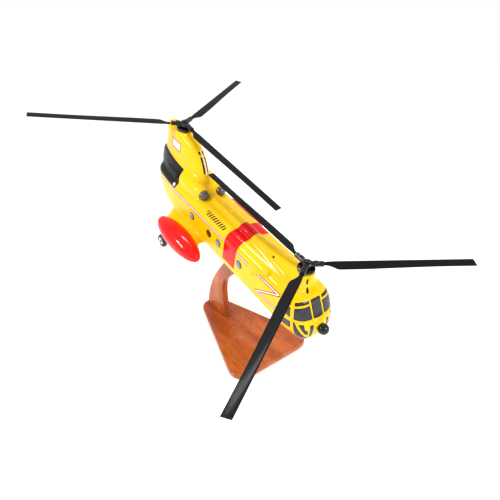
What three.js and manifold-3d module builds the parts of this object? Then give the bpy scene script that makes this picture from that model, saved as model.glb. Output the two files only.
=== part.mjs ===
// Tandem-rotor rescue helicopter, a desk model on a curved wooden stand.
// Millimetres, +X towards the nose, +Y to port, +Z up.
// The origin is the centre of the stand's underside.
import * as THREE from 'three';
import { mergeVertices } from 'three/addons/utils/BufferGeometryUtils.js';
import Module from 'manifold-3d';

const wasm = await Module();
wasm.setup();

// ---- Driving dimensions -------------------------------------------------------------------------

const GAP = 0.3;                 // between pieces that touch
const RAD = Math.PI / 180;

// The airframe has its own frame: x from the front rotor's axis, z from the belly.
const PITCH = 12.6 * RAD;        // nose down on the stand
const AIRFRAME_X = 110.8;
const AIRFRAME_Z = 104.2;

// Fuselage stations, nose to tail: x, half width, bottom, top, squareness of the section.
const HULL = [
  [42.8, 0.8, 17.8, 20.6, 2.0],
  [42.2, 9.0, 8.6, 25.8, 2.3],
  [40.0, 17.2, 2.8, 29.0, 2.5],
  [35.5, 23.8, 0.4, 33.6, 2.6],
  [28.0, 28.2, 0.0, 45.0, 2.6],
  [23.2, 29.0, 0.0, 52.0, 2.8],
  [17.5, 29.3, 0.0, 54.4, 3.4],
  [0.0, 29.4, 0.0, 56.8, 4.0],
  [-60.0, 29.4, 0.0, 58.0, 4.2],
  [-150.0, 29.4, 0.0, 58.0, 4.2],
  [-232.0, 29.2, 0.0, 58.0, 4.0],
  [-255.0, 28.2, 4.0, 58.0, 3.9],
  [-275.0, 26.2, 13.0, 57.8, 3.7],
  [-292.0, 23.5, 26.0, 57.4, 3.4],
  [-302.0, 19.6, 34.0, 56.6, 3.0],
  [-308.0, 12.5, 39.0, 54.5, 2.6],
  [-310.2, 0.6, 46.0, 50.0, 2.0],
];
const HULL_SIDES = 32;

// Rotors
const FRONT_HUB = { x: 0, z: 84.0, tilt: -0.2 * RAD, roll: 2.5 * RAD, pitch: 7 * RAD };
const AFT_HUB = { x: -267.4, z: 128.8, tilt: 3.6 * RAD, roll: -0.35 * RAD, pitch: -1 * RAD };
const FRONT_AZIMUTH = 59.6;
const AFT_AZIMUTH = 3.0;
const FRONT_CONE = 0.7 * RAD;
const AFT_CONE = -1.5 * RAD;
const BLADE_TIP = 201.2;         // from the rotor's axis
const BLADE_ROOT = 19.3;
const LEADING = 3.3;             // from the blade's axis to its leading edge
const TRAILING = 7.0;
const SLEEVE_R = 3.3;
const SLEEVE_END = 18.9;
const HUB_R = 5.6;
const HUB_HALF = 3.4;
const PIN_R = 1.5;
const HUB_BORE_R = 1.58;
const BOOT_R = 10.4;

// Stand
const FELT_T = 1.0;
const BASE_BOTTOM = FELT_T + GAP;
const BASE_TOP = 9.4;
const BASE_FRONT = 84.8;         // x of the wide edge, and of the narrow one at -BASE_FRONT
const BASE_FRONT_HALF = 71.5;
const BASE_BACK_HALF = 15.5;
const BASE_CORNER = 33;
const BASE_BEVEL = 2.4;
const ARM_HALF = 5.2;            // half of the arm board's thickness
const PEG_R = 3.0;
const PEG_BELLY_X = -112;        // where the peg enters the belly, in the airframe's frame
const PEG_INSIDE = 20;
const PEG_BELOW = 15;
const SCREW_X = [-70, -44];

// Landing gear, in the airframe's frame
const MAIN_WHEEL = { x: -222.5, y: 57.8, z: -25, r: 9.8, half: 3.4 };
const NOSE_WHEEL = { x: -26, z: -22.5, r: 7.6, half: 2.8 };
const AXLE_R = 1.3;
const WHEEL_BORE_R = 1.38;

// Sponson pods
const POD = { x: -183.6, y: 54.7, z: 6.8, length: 51.8, wide: 16.4, high: 16.1 };

// ---- Materials ----------------------------------------------------------------------------------

function paint(color, roughness = 0.2, metalness = 0) {
  return new THREE.MeshStandardMaterial({ color, roughness, metalness });
}

const YELLOW = paint(0xf7cc05);
const RED = paint(0xe01012);
const BLACK = paint(0x0c0c0e);
const BLADE_GREY = paint(0x26272a, 0.45);
const GLAZING = paint(0x2e3438, 0.15);
const PORTHOLE_GREY = paint(0x7d8a94, 0.15);
const PORTHOLE_BROWN = paint(0x4a2b1c, 0.15);
const INTAKE = paint(0x3a3520, 0.2);
const STEEL = paint(0xb9bcc0, 0.25, 1);
const RUBBER = paint(0x1a1a1b, 0.8);
const MAHOGANY = paint(0xb5562a, 0.2);
const FELT = paint(0x1f3d2c, 0.95);

// ---- Solids -------------------------------------------------------------------------------------

function solidOf(geometry) {
  const bare = geometry.clone();
  bare.deleteAttribute('normal');
  bare.deleteAttribute('uv');
  const merged = mergeVertices(bare, 1e-4);
  return new wasm.Manifold(new wasm.Mesh({
    numProp: 3,
    vertProperties: new Float32Array(merged.attributes.position.array),
    triVerts: new Uint32Array(merged.index.array),
  }));
}

function geometryOf(solid) {
  const mesh = solid.getMesh();
  const geometry = new THREE.BufferGeometry();
  geometry.setAttribute('position', new THREE.BufferAttribute(new Float32Array(mesh.vertProperties), 3));
  geometry.setIndex(new THREE.BufferAttribute(new Uint32Array(mesh.triVerts), 1));
  geometry.computeVertexNormals();
  return geometry;
}

function signedVolume(points, faces) {
  let total = 0;
  for (const [a, b, c] of faces) {
    total += points[a].dot(new THREE.Vector3().crossVectors(points[b], points[c]));
  }
  return total;
}

// A closed skin over rings of equally many points, with a flat or pointed cap at each end.
function loft(rings) {
  const count = rings[0].length;
  const points = rings.flat();
  const faces = [];
  for (let r = 0; r + 1 < rings.length; r += 1) {
    for (let i = 0; i < count; i += 1) {
      const a = r * count + i;
      const b = r * count + ((i + 1) % count);
      faces.push([a, b, b + count]);
      faces.push([a, b + count, a + count]);
    }
  }
  for (const first of [0, (rings.length - 1) * count]) {
    const centre = new THREE.Vector3();
    for (let i = 0; i < count; i += 1) centre.addScaledVector(points[first + i], 1 / count);
    points.push(centre);
    for (let i = 0; i < count; i += 1) {
      const a = first + i;
      const b = first + ((i + 1) % count);
      faces.push(first === 0 ? [b, a, points.length - 1] : [a, b, points.length - 1]);
    }
  }
  if (signedVolume(points, faces) < 0) faces.forEach((face) => face.reverse());
  const geometry = new THREE.BufferGeometry().setFromPoints(points);
  geometry.setIndex(faces.flat());
  return geometry;
}

function power(value, squareness) {
  return Math.sign(value) * Math.abs(value) ** (2 / squareness);
}

// A ring of points around a rounded box; place maps its two coordinates into space.
function roundedRing(halfA, halfB, squareness, count, place) {
  const ring = [];
  for (let i = 0; i < count; i += 1) {
    const angle = (2 * Math.PI * (i + 0.5)) / count;
    const a = halfA * power(Math.cos(angle), squareness);
    const b = halfB * power(Math.sin(angle), squareness);
    ring.push(place(a, b));
  }
  return ring;
}

function cylinderAlong(axis, radius, from, to, sides = 18) {
  const geometry = new THREE.CylinderGeometry(radius, radius, to - from, sides);
  geometry.translate(0, (from + to) / 2, 0);
  const direction = { x: [1, 0, 0], y: [0, 1, 0], z: [0, 0, 1] }[axis];
  const turn = new THREE.Quaternion().setFromUnitVectors(
    new THREE.Vector3(0, 1, 0),
    new THREE.Vector3(...direction),
  );
  return geometry.applyQuaternion(turn);
}

// A solid of revolution about z. The profile is (radius, z) from the axis back to the axis.
function lathe(profile, sides = 16) {
  const geometry = new THREE.LatheGeometry(profile.map(([r, z]) => new THREE.Vector2(r, z)), sides);
  return geometry.rotateX(Math.PI / 2);
}

function ellipsoid(x, y, z, a, b, c, sides = 16) {
  return new THREE.SphereGeometry(1, sides, sides / 2).scale(a, b, c).translate(x, y, z);
}

function subtract(geometry, ...cutters) {
  return geometryOf(cutters.reduce((solid, cutter) => solid.subtract(solidOf(cutter)), solidOf(geometry)));
}

function unite(...geometries) {
  const solids = geometries.map(solidOf);
  return geometryOf(solids.slice(1).reduce((total, solid) => total.add(solid), solids[0]));
}

function intersect(first, second) {
  return geometryOf(solidOf(first).intersect(solidOf(second)));
}

function named(name, geometry, material) {
  const mesh = new THREE.Mesh(geometry, material);
  mesh.name = name;
  return mesh;
}

function mirrored(geometry) {
  const copy = geometry.clone().scale(1, -1, 1);
  const index = copy.index.array;
  for (let i = 0; i < index.length; i += 3) [index[i], index[i + 1]] = [index[i + 1], index[i]];
  return copy;
}

// ---- Fuselage and its windows -------------------------------------------------------------------

// The fuselage's skin, grown outwards by a margin.
function hull(grow = 0) {
  const rings = HULL.map(([x, half, bottom, top, squareness]) => {
    const noseShare = THREE.MathUtils.clamp((x - 10) / 32, 0, 1);
    const tailShare = THREE.MathUtils.clamp((-290 - x) / 19, 0, 1);
    const shifted = x + grow * (noseShare - tailShare);
    const middle = (bottom + top) / 2;
    return roundedRing(half + grow, (top - bottom) / 2 + grow, squareness, HULL_SIDES, (y, z) => (
      new THREE.Vector3(shifted, y, middle + z)));
  });
  return loft(rings);
}

// Window outlines for the starboard half, y and z of each corner seen from ahead.
const FRONT_PANES = {
  windscreen_center: [[-5.3, 51.4], [5.3, 51.4], [6.7, 32.0], [-6.7, 32.0]],
  windscreen: [[-7.9, 46.0], [-25.4, 45.0], [-27.6, 31.6], [-9.4, 31.8]],
  eyebrow: [[-7.8, 51.2], [-23.6, 49.4], [-25.0, 46.8], [-8.0, 48.0]],
};
// The same, x and z of each corner seen from the side.
const SIDE_PANES = {
  cockpit_side_window: [[15.8, 43.6], [1.5, 43.2], [1.5, 29.6], [20.6, 30.0]],
};
const PANE_DEPTH = 0.9;

function outlineShape(corners, grow) {
  const mean = (axis) => corners.reduce((sum, corner) => sum + corner[axis], 0) / corners.length;
  const centre = [mean(0), mean(1)];
  const shape = new THREE.Shape();
  corners.forEach(([a, b], i) => {
    const away = new THREE.Vector2(a - centre[0], b - centre[1]);
    const extra = away.clone().normalize().multiplyScalar(grow * 1.3);
    const moved = away.clone().add(extra).add(new THREE.Vector2(...centre));
    if (i === 0) shape.moveTo(moved.x, moved.y);
    else shape.lineTo(moved.x, moved.y);
  });
  return shape;
}

// A prism along +x over an outline drawn in y and z.
function prismAlongX(corners, grow) {
  const outline = outlineShape(corners, grow);
  const geometry = new THREE.ExtrudeGeometry(outline, { depth: 50, bevelEnabled: false });
  return geometry.applyMatrix4(new THREE.Matrix4().makeBasis(
    new THREE.Vector3(0, 1, 0),
    new THREE.Vector3(0, 0, 1),
    new THREE.Vector3(1, 0, 0),
  ));
}

// A prism towards starboard over an outline drawn in x and z.
function prismAlongY(corners, grow) {
  const outline = outlineShape(corners, grow);
  const geometry = new THREE.ExtrudeGeometry(outline, { depth: 25, bevelEnabled: false });
  return geometry.rotateX(Math.PI / 2).translate(0, -14, 0);
}

function inlay(prism) {
  return subtract(intersect(prism(0), hull(0.15)), hull(-PANE_DEPTH));
}

function pocket(prism) {
  return subtract(intersect(prism(GAP), hull(3)), hull(-PANE_DEPTH - GAP));
}

const inlays = [];
const pockets = [];

function addPane(name, prism, onBothSides) {
  const pane = inlay(prism);
  const cut = pocket(prism);
  if (!onBothSides) {
    inlays.push([name, pane]);
    pockets.push(cut);
    return;
  }
  inlays.push([`${name}_R`, pane], [`${name}_L`, mirrored(pane)]);
  pockets.push(cut, mirrored(cut));
}

addPane('windscreen_center', (grow) => prismAlongX(FRONT_PANES.windscreen_center, grow), false);
addPane('windscreen', (grow) => prismAlongX(FRONT_PANES.windscreen, grow), true);
addPane('eyebrow_window', (grow) => prismAlongX(FRONT_PANES.eyebrow, grow), true);
addPane('cockpit_side_window', (grow) => prismAlongY(SIDE_PANES.cockpit_side_window, grow), true);

function pegHole() {
  return cylinderAlong('z', PEG_R + 0.12, -2, PEG_INSIDE + 1.5).translate(PEG_BELLY_X, 0, 0);
}

// ---- Pylons, spine and nacelles -----------------------------------------------------------------

// Forward pylon, level slices: z, front x, back x, half thickness.
const FORWARD_PYLON = [
  [44.0, 13.0, -20.0, 23.0],
  [54.0, 12.4, -18.0, 21.5],
  [60.0, 10.6, -15.4, 17.5],
  [66.0, 9.4, -13.6, 13.6],
  [71.0, 9.8, -12.6, 11.8],
  [75.0, 11.0, -12.4, 11.2],
];
// The fairing that climbs from the shaft cover to the forward pylon: x, half width, top.
const FORWARD_RAMP = [
  [-96.0, 9.0, 63.6],
  [-76.0, 9.4, 64.6],
  [-58.0, 9.9, 66.2],
  [-40.0, 10.8, 68.7],
  [-24.0, 11.8, 71.4],
  [-12.0, 12.5, 73.6],
  [-2.0, 12.7, 74.4],
];
// Aft pylon, level slices: z, front x, back x, half thickness.
const AFT_PYLON = [
  [44.0, -186.0, -312.0, 24.0],
  [58.0, -190.0, -319.0, 22.5],
  [68.0, -196.5, -319.5, 18.6],
  [75.5, -201.0, -317.0, 16.0],
  [79.5, -203.7, -312.5, 14.0],
  [92.0, -209.5, -311.0, 12.8],
  [104.0, -218.5, -310.0, 12.3],
  [112.0, -231.0, -307.5, 11.8],
  [117.0, -246.0, -302.0, 11.4],
  [119.6, -255.8, -290.0, 11.0],
];
const PYLON_SIDES = 26;

function pylon(table, squareness, grow) {
  const rings = table.map(([z, front, back, half], i, all) => {
    const middle = (front + back) / 2;
    const lift = i === all.length - 1 ? grow : 0;
    return roundedRing((front - back) / 2 + grow, half + grow, squareness, PYLON_SIDES, (x, y) => {
      const share = (x / ((front - back) / 2 + grow) + 1) / 2;
      const taper = 0.55 + 0.45 * Math.sin(Math.PI * (0.14 + 0.5 * share));
      return new THREE.Vector3(middle + x, y * taper, z + lift);
    });
  });
  return loft(rings);
}

// A rounded section about the roof's middle line, for the shaft cover and the ramp: x, half width, top.
function roofSection(x, half, top, grow) {
  return roundedRing(half + grow, top - SPINE.foot + grow, 2.8, 24, (y, z) => (
    new THREE.Vector3(x, y, SPINE.foot + z)));
}

function forwardRamp(grow) {
  return loft(FORWARD_RAMP.map(([x, half, top], i) => (
    roofSection(i === 0 ? x - grow : x, half, top, grow))));
}

function forwardPylon(grow = 0) {
  return unite(pylon(FORWARD_PYLON, 2.6, grow), forwardRamp(grow));
}

function aftPylon(grow = 0) {
  const tailHump = ellipsoid(-290.5, 0, 113.6, 17.5 + grow, 10.6 + grow, 10.4 + grow, 14);
  return unite(pylon(AFT_PYLON, 2.3, grow), tailHump);
}

// The shaft cover along the roof, x, half width, top.
const SPINE = { front: -20, back: -214, half: 9.0, top: 63.6, foot: 50 };

function spine(grow = 0) {
  const rings = [];
  const steps = 3;
  for (let s = 0; s <= steps; s += 1) {
    const x = SPINE.front + ((SPINE.back - SPINE.front) * s) / steps;
    rings.push(roofSection(x, SPINE.half, SPINE.top, grow));
  }
  return loft(rings);
}

// Engine nacelles, x, radius.
const NACELLE_Y = 12.4;
const NACELLE_Z = 63;
const NACELLE = [
  [-190, 8.4],
  [-193.5, 9.8],
  [-201, 11.2],
  [-212, 12.1],
  [-224, 12.4],
  [-237, 12.3],
  [-239, 11.7],
  [-240, 10.4],
];

function nacelle(grow = 0) {
  const rings = NACELLE.map(([x, radius], i, all) => {
    const end = i === 0 ? grow : (i === all.length - 1 ? -grow : 0);
    return roundedRing(radius + grow, radius + grow, 2, 18, (y, z) => (
      new THREE.Vector3(x + end, -NACELLE_Y + y, NACELLE_Z + z)));
  });
  return loft(rings);
}

const INTAKE_X = -188.6;
const INTAKE_Y = 13.6;
const INTAKE_Z = 62.4;
const INTAKE_R = 7.3;

// A dark glass-smooth dome that closes the engine's mouth.
function intake(grow = 0) {
  return ellipsoid(INTAKE_X, -INTAKE_Y, INTAKE_Z, INTAKE_R + grow, INTAKE_R + grow, INTAKE_R + grow, 14);
}

// The exhaust is a short open pipe behind the nacelle that points outboard.
const EXHAUST = { x: -248.2, y: -19.4, z: 63.6, outer: 4.4, inner: 3.4, half: 4.6, yaw: 62 * RAD };

function exhaustPlace(geometry) {
  return geometry.rotateZ(EXHAUST.yaw).translate(EXHAUST.x, EXHAUST.y, EXHAUST.z);
}

function exhaustBody(grow = 0) {
  const end = EXHAUST.half + grow;
  return exhaustPlace(cylinderAlong('x', EXHAUST.outer + grow, -end, end, 18));
}

function exhaust() {
  const bore = exhaustPlace(cylinderAlong('x', EXHAUST.inner, -EXHAUST.half - 1, EXHAUST.half - 1.5, 18));
  return subtract(exhaustBody(), bore);
}

// ---- Sponsons and landing gear ------------------------------------------------------------------

function pod(grow = 0) {
  return ellipsoid(POD.x, -POD.y, POD.z, POD.length + grow, POD.wide + grow, POD.high + grow, 22);
}

// Stub wing from the fuselage side to the pod: distance out, middle x, half length, middle z, half height.
const STUB = [
  [20, -204, 43, 6.5, 9.5],
  [31, -203, 42, 6.5, 9.2],
  [38, -199, 40, 6.6, 8.6],
  [48, -194, 37, 6.8, 8.0],
];

function stub() {
  const rings = STUB.map(([out, x, halfX, z, halfZ]) => (
    roundedRing(halfX, halfZ, 2.3, 20, (a, b) => new THREE.Vector3(x + a, -out, z + b))));
  return subtract(loft(rings), hull(GAP), pod(GAP));
}

function wheel({ x, z, r, half }, y) {
  const edge = 1.4;
  const profile = [[WHEEL_BORE_R, -half], [r - edge, -half], [r, -half + edge], [r, half - edge],
    [r - edge, half], [WHEEL_BORE_R, half], [WHEEL_BORE_R, -half]];
  return lathe(profile, 20).rotateX(Math.PI / 2).translate(x, y, z);
}

// Leg and axle in one: a strut down from the pod, and the axle that the wheel turns on.
function mainLeg() {
  const { x, y, z, half } = MAIN_WHEEL;
  const side = -y + half + 2.2;
  const strut = cylinderAlong('z', 1.9, z - 1.9, POD.z, 16).translate(x, side, 0);
  const axle = cylinderAlong('y', AXLE_R, -y - half - 1.2, side, 24).translate(x, 0, z);
  const nut = cylinderAlong('y', 2.4, -y - half - 2.0, -y - half - 0.4, 18).translate(x, 0, z);
  return subtract(unite(strut, axle, nut), pod(GAP));
}

function noseLeg() {
  const { x, z, half } = NOSE_WHEEL;
  const reach = half + 1.0;
  const cheek = (side) => new THREE.BoxGeometry(4.4, 1.6, 14).translate(x, side * (reach + 0.8), z + 4.6);
  const bridge = new THREE.BoxGeometry(4.4, 2 * reach + 3.2, 2.6).translate(x, 0, z + 11.2);
  const strut = cylinderAlong('z', 2.2, z + 11, 6, 16).translate(x, 0, 0);
  const axle = cylinderAlong('y', AXLE_R, -reach - 0.8, reach + 0.8, 24).translate(x, 0, z);
  return subtract(unite(cheek(1), cheek(-1), bridge, strut, axle), hull(GAP));
}

// ---- Portholes, radome and hoist ----------------------------------------------------------------

const PORTHOLE_Z = 31.2;
const PORTHOLE_R = 5.9;
const PORTHOLES = [[-79, true], [-125.5, true], [-148, false], [-191, true]];

// A domed window stands well proud of the skin; a flat one hardly does.
function porthole(x, domed) {
  const out = domed ? 3.4 : 1.1;
  const lens = ellipsoid(0, 0, 0, PORTHOLE_R, out, PORTHOLE_R).translate(x, -29.4, PORTHOLE_Z);
  return subtract(lens, hull(GAP));
}

const RADOME = { x: 47.6, z: 22.0, r: 6.9 };

function radomeRing(grow = 0) {
  const profile = [[0, -6], [9.2 + grow, -6], [9.2 + grow, 0.2], [8.4 + grow, 1.4 + grow], [0, 1.4 + grow]];
  return lathe(profile, 18).rotateY(Math.PI / 2).translate(41.4, 0, RADOME.z);
}

function radome(grow = 0) {
  return ellipsoid(RADOME.x, 0, RADOME.z, RADOME.r + grow, RADOME.r + grow, RADOME.r + grow, 18);
}

const HOIST = { x: -35, y: -26.0, z: 54.8 };

function hoistHousing(grow = 0) {
  return ellipsoid(HOIST.x, HOIST.y, HOIST.z, 5.6 + grow, 4.6 + grow, 4.6 + grow, 14);
}

function hoistArm() {
  const from = new THREE.Vector3(HOIST.x - 1, HOIST.y, HOIST.z);
  const to = new THREE.Vector3(-43, -40, 51.5);
  const direction = new THREE.Vector3().subVectors(to, from);
  const turn = new THREE.Quaternion().setFromUnitVectors(
    new THREE.Vector3(0, 1, 0),
    direction.clone().normalize(),
  );
  const bar = new THREE.CylinderGeometry(1.5, 2.1, direction.length(), 10)
    .applyQuaternion(turn)
    .translate((from.x + to.x) / 2, (from.y + to.y) / 2, (from.z + to.z) / 2);
  const drum = ellipsoid(to.x, to.y, to.z, 2.5, 2.3, 2.3, 10);
  return subtract(unite(bar, drum), hoistHousing(GAP), hull(GAP));
}

// ---- Rotors -------------------------------------------------------------------------------------

// Black boot that fills in between the pylon's top and the hub; z is from the hub's middle.
function boot(bottom) {
  const profile = [[0, bottom], [BOOT_R * 0.72, bottom], [BOOT_R * 0.93, bottom + 1.6], [BOOT_R, bottom + 3.4],
    [BOOT_R * 0.97, -HUB_HALF - 0.9], [0, -HUB_HALF - 0.9]];
  return subtract(lathe(profile), cylinderAlong('z', PIN_R + GAP, bottom - 1, 0));
}

// Headed pin that holds the hub down; it ends below the boot, inside the pylon.
const PIN_BELOW = -26;

function rotorPin() {
  const profile = [[0, PIN_BELOW], [PIN_R, PIN_BELOW], [PIN_R, HUB_HALF + 0.4], [3.3, HUB_HALF + 0.4],
    [3.1, HUB_HALF + 1.6], [1.8, HUB_HALF + 2.6], [0, HUB_HALF + 2.9]];
  return lathe(profile);
}

function pinHole() {
  return cylinderAlong('z', PIN_R + GAP, PIN_BELOW - GAP, 20);
}

function hub() {
  const core = cylinderAlong('z', HUB_R, -HUB_HALF, HUB_HALF, 20);
  const arms = [0, 120, 240].map((angle) => (
    cylinderAlong('x', SLEEVE_R, 2, SLEEVE_END, 14).rotateZ(angle * RAD)));
  return subtract(unite(core, ...arms), cylinderAlong('z', HUB_BORE_R, -10, 10));
}

// Aerofoil section between its leading and trailing edges, as points of y and z.
function aerofoil(leading, trailing, thick) {
  const outline = [];
  const count = 7;
  for (const side of [1, -1]) {
    for (let i = 0; i < count; i += 1) {
      const share = side === 1 ? i / count : 1 - i / count;
      const chordwise = (1 - Math.cos(Math.PI * share)) / 2;
      const round = 1.48 * (Math.sqrt(chordwise) - chordwise);
      const height = thick * (round + 0.18 * chordwise * (1 - chordwise));
      const edge = 0.14 * (1 - chordwise) * (chordwise > 0 ? 1 : 0) + 0.1;
      outline.push([leading - (leading + trailing) * chordwise, side * (height / 2 + (i > 0 ? edge : 0))]);
    }
  }
  return outline;
}

// Blade stations: distance out, leading edge, trailing edge, thickness.
const BLADE = [
  [BLADE_ROOT, 2.4, 2.4, 3.4],
  [23.5, 2.7, 2.8, 2.8],
  [28.5, 3.0, 4.4, 2.3],
  [34, LEADING, 6.9, 2.0],
  [37, LEADING, TRAILING, 2.0],
  [157, LEADING, TRAILING, 1.8],
  [BLADE_TIP - 1.2, LEADING, TRAILING, 1.6],
];
const TIP_SLANT = 1.2;

function blade(pitch) {
  const rings = BLADE.map(([out, leading, trailing, thick], station) => (
    aerofoil(leading, trailing, thick).map(([y, z]) => {
      const slant = station === BLADE.length - 1 ? (TIP_SLANT * (LEADING - y)) / (LEADING + TRAILING) : 0;
      return new THREE.Vector3(out + slant, y, z).applyAxisAngle(new THREE.Vector3(1, 0, 0), pitch);
    })));
  return loft(rings);
}

function rotor(name, place, azimuth, cone) {
  const group = new THREE.Group();
  group.position.set(place.x, 0, place.z);
  group.rotation.set(place.roll, place.tilt, 0, 'YXZ');
  const spinner = new THREE.Group();
  spinner.rotation.z = azimuth * RAD;
  spinner.add(named(`${name}_rotor_hub`, hub(), BLACK));
  for (let i = 0; i < 3; i += 1) {
    const arm = new THREE.Group();
    arm.rotation.set(0, -cone, i * 120 * RAD, 'ZYX');
    arm.add(named(`${name}_rotor_blade_${i + 1}`, blade(place.pitch), BLADE_GREY));
    spinner.add(arm);
  }
  group.add(spinner);
  group.add(named(`${name}_rotor_pin`, rotorPin(), BLACK));
  return group;
}

function atHub(geometry, place) {
  return geometry.rotateX(place.roll).rotateY(place.tilt).translate(place.x, 0, place.z);
}

// ---- Airframe -----------------------------------------------------------------------------------

function buildAirframe() {
  const airframe = new THREE.Group();
  airframe.position.set(AIRFRAME_X, 0, AIRFRAME_Z);
  airframe.rotation.y = PITCH;
  const add = (name, geometry, material) => airframe.add(named(name, geometry, material));
  const addPair = (name, geometry, material) => {
    add(`${name}_R`, geometry, material);
    add(`${name}_L`, mirrored(geometry), material);
  };

  add('fuselage', subtract(hull(), pegHole(), ...pockets), YELLOW);
  inlays.forEach(([name, geometry]) => add(name, geometry, GLAZING));
  PORTHOLES.forEach(([x, domed], i) => {
    addPair(`porthole_${i + 1}`, porthole(x, domed), domed ? PORTHOLE_GREY : PORTHOLE_BROWN);
  });

  const frontBoot = atHub(boot(-8.6), FRONT_HUB);
  const aftBoot = atHub(boot(-8.9), AFT_HUB);
  const frontPinHole = atHub(pinHole(), FRONT_HUB);
  const aftPinHole = atHub(pinHole(), AFT_HUB);
  const bootSeat = (bottom) => cylinderAlong('z', BOOT_R + GAP, bottom - GAP, 30, 36);
  add('forward_pylon', subtract(
    forwardPylon(),
    hull(GAP),
    frontPinHole,
    atHub(bootSeat(-8.6), FRONT_HUB),
  ), YELLOW);
  add('aft_pylon', subtract(
    aftPylon(),
    hull(GAP),
    aftPinHole,
    atHub(bootSeat(-8.9), AFT_HUB),
  ), YELLOW);
  add('front_rotor_boot', frontBoot, BLACK);
  add('aft_rotor_boot', aftBoot, BLACK);
  add('drive_shaft_cover', subtract(spine(), hull(GAP), forwardPylon(GAP), aftPylon(GAP)), YELLOW);

  const bothIntakes = [intake(GAP), mirrored(intake(GAP))];
  addPair('engine_nacelle', subtract(
    nacelle(),
    hull(GAP),
    aftPylon(GAP),
    spine(GAP),
    bothIntakes[0],
    exhaustBody(GAP),
  ), YELLOW);
  addPair('engine_intake', subtract(intake(), hull(GAP), aftPylon(GAP), spine(GAP)), INTAKE);
  addPair('exhaust_pipe', subtract(exhaust(), hull(GAP), aftPylon(GAP)), BLACK);

  addPair('sponson_stub', stub(), YELLOW);
  addPair('sponson_pod', pod(), RED);
  addPair('main_gear_leg', mainLeg(), STEEL);
  addPair('main_wheel', wheel(MAIN_WHEEL, -MAIN_WHEEL.y), RUBBER);
  add('nose_gear_leg', noseLeg(), STEEL);
  add('nose_wheel', wheel(NOSE_WHEEL, 0), RUBBER);

  add('radome_ring', subtract(radomeRing(), hull(GAP), radome(GAP)), YELLOW);
  add('nose_radome', subtract(radome(), hull(GAP)), BLACK);
  add('hoist_housing', subtract(hoistHousing(), hull(GAP)), YELLOW);
  add('hoist_arm', hoistArm(), YELLOW);

  airframe.add(rotor('front', FRONT_HUB, FRONT_AZIMUTH, FRONT_CONE));
  airframe.add(rotor('aft', AFT_HUB, AFT_AZIMUTH, AFT_CONE));
  return airframe;
}

// ---- Stand --------------------------------------------------------------------------------------

// Trapezium with round corners, wide towards +x, shrunk by an inset.
function baseOutline(inset) {
  const slope = (BASE_FRONT_HALF - BASE_BACK_HALF) / (2 * BASE_FRONT);
  const lean = Math.sqrt(1 + slope * slope);
  const halfAt = (x) => BASE_BACK_HALF + slope * (x + BASE_FRONT) - inset * lean;
  const front = BASE_FRONT - inset;
  const back = -BASE_FRONT + inset;
  const corners = [
    [front, -halfAt(front)],
    [front, halfAt(front)],
    [back, halfAt(back)],
    [back, -halfAt(back)],
  ].map(([x, y]) => new THREE.Vector2(x, y));
  const shape = new THREE.Shape();
  corners.forEach((corner, i) => {
    const before = corners[(i + 3) % 4];
    const after = corners[(i + 1) % 4];
    const reach = i < 2 ? BASE_CORNER : Math.min(BASE_CORNER, halfAt(back) * 0.96);
    const start = corner.clone().add(before.clone().sub(corner).setLength(reach));
    const end = corner.clone().add(after.clone().sub(corner).setLength(reach));
    if (i === 0) shape.moveTo(start.x, start.y);
    else shape.lineTo(start.x, start.y);
    shape.quadraticCurveTo(corner.x, corner.y, end.x, end.y);
  });
  shape.closePath();
  return shape;
}

function base() {
  const height = BASE_TOP - BASE_BOTTOM;
  const board = new THREE.ExtrudeGeometry(baseOutline(BASE_BEVEL), {
    depth: height - BASE_BEVEL * 1.5,
    bevelThickness: BASE_BEVEL * 0.75,
    bevelSize: BASE_BEVEL,
    bevelSegments: 2,
    curveSegments: 5,
  }).translate(0, 0, BASE_BOTTOM + BASE_BEVEL * 0.75);
  const holes = SCREW_X.map((x) => screwShape(GAP).translate(x, 0, 0));
  return subtract(board, ...holes);
}

function felt() {
  const settings = { depth: FELT_T, bevelEnabled: false, curveSegments: 5 };
  return new THREE.ExtrudeGeometry(baseOutline(5), settings);
}

const SCREW_TOP = 32;

function screwShape(grow = 0) {
  const bottom = BASE_BOTTOM + 0.3;
  const profile = [[0, bottom - 2 * grow], [4 + grow, bottom - 2 * grow], [4 + grow, bottom + 0.6],
    [2 + grow, bottom + 3], [2 + grow, SCREW_TOP - 2], [0, SCREW_TOP + grow]];
  return lathe(profile, 24);
}

// The arm's side view. Its two edges are smooth curves; its head lies along the belly.
function bellyPoint(x, below) {
  return new THREE.Vector2(
    AIRFRAME_X + x * Math.cos(PITCH) - below * Math.sin(PITCH),
    AIRFRAME_Z - x * Math.sin(PITCH) - below * Math.cos(PITCH),
  );
}

const ARM_BACK_EDGE = [
  [-81.0, 9.7],
  [-77.8, 24.0],
  [-73.3, 40.5],
  [-66.5, 57.0],
  [-58.2, 73.0],
  [-47.5, 88.5],
  [-35.8, 103.5],
];
const ARM_FRONT_EDGE = [
  [-31.0, 9.7],
  [-34.0, 27.0],
  [-36.2, 44.0],
  [-36.6, 57.5],
  [-35.0, 68.0],
  [-30.8, 77.5],
  [-24.3, 86.0],
  [-15.0, 95.3],
];
const ARM_HEAD = [-130, -92];   // where the head meets the belly, in the airframe's frame

function armShape() {
  const seat = GAP;
  const headBack = bellyPoint(ARM_HEAD[0], seat);
  const headFront = bellyPoint(ARM_HEAD[1], seat);
  const spots = (edge) => edge.map(([x, z]) => new THREE.Vector2(x, z));
  const backEdge = new THREE.SplineCurve([...spots(ARM_BACK_EDGE), headBack]);
  const frontEdge = new THREE.SplineCurve([...spots(ARM_FRONT_EDGE), headFront]);
  return new THREE.Shape([...backEdge.getPoints(14), ...frontEdge.getPoints(14).reverse()]);
}

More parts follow.
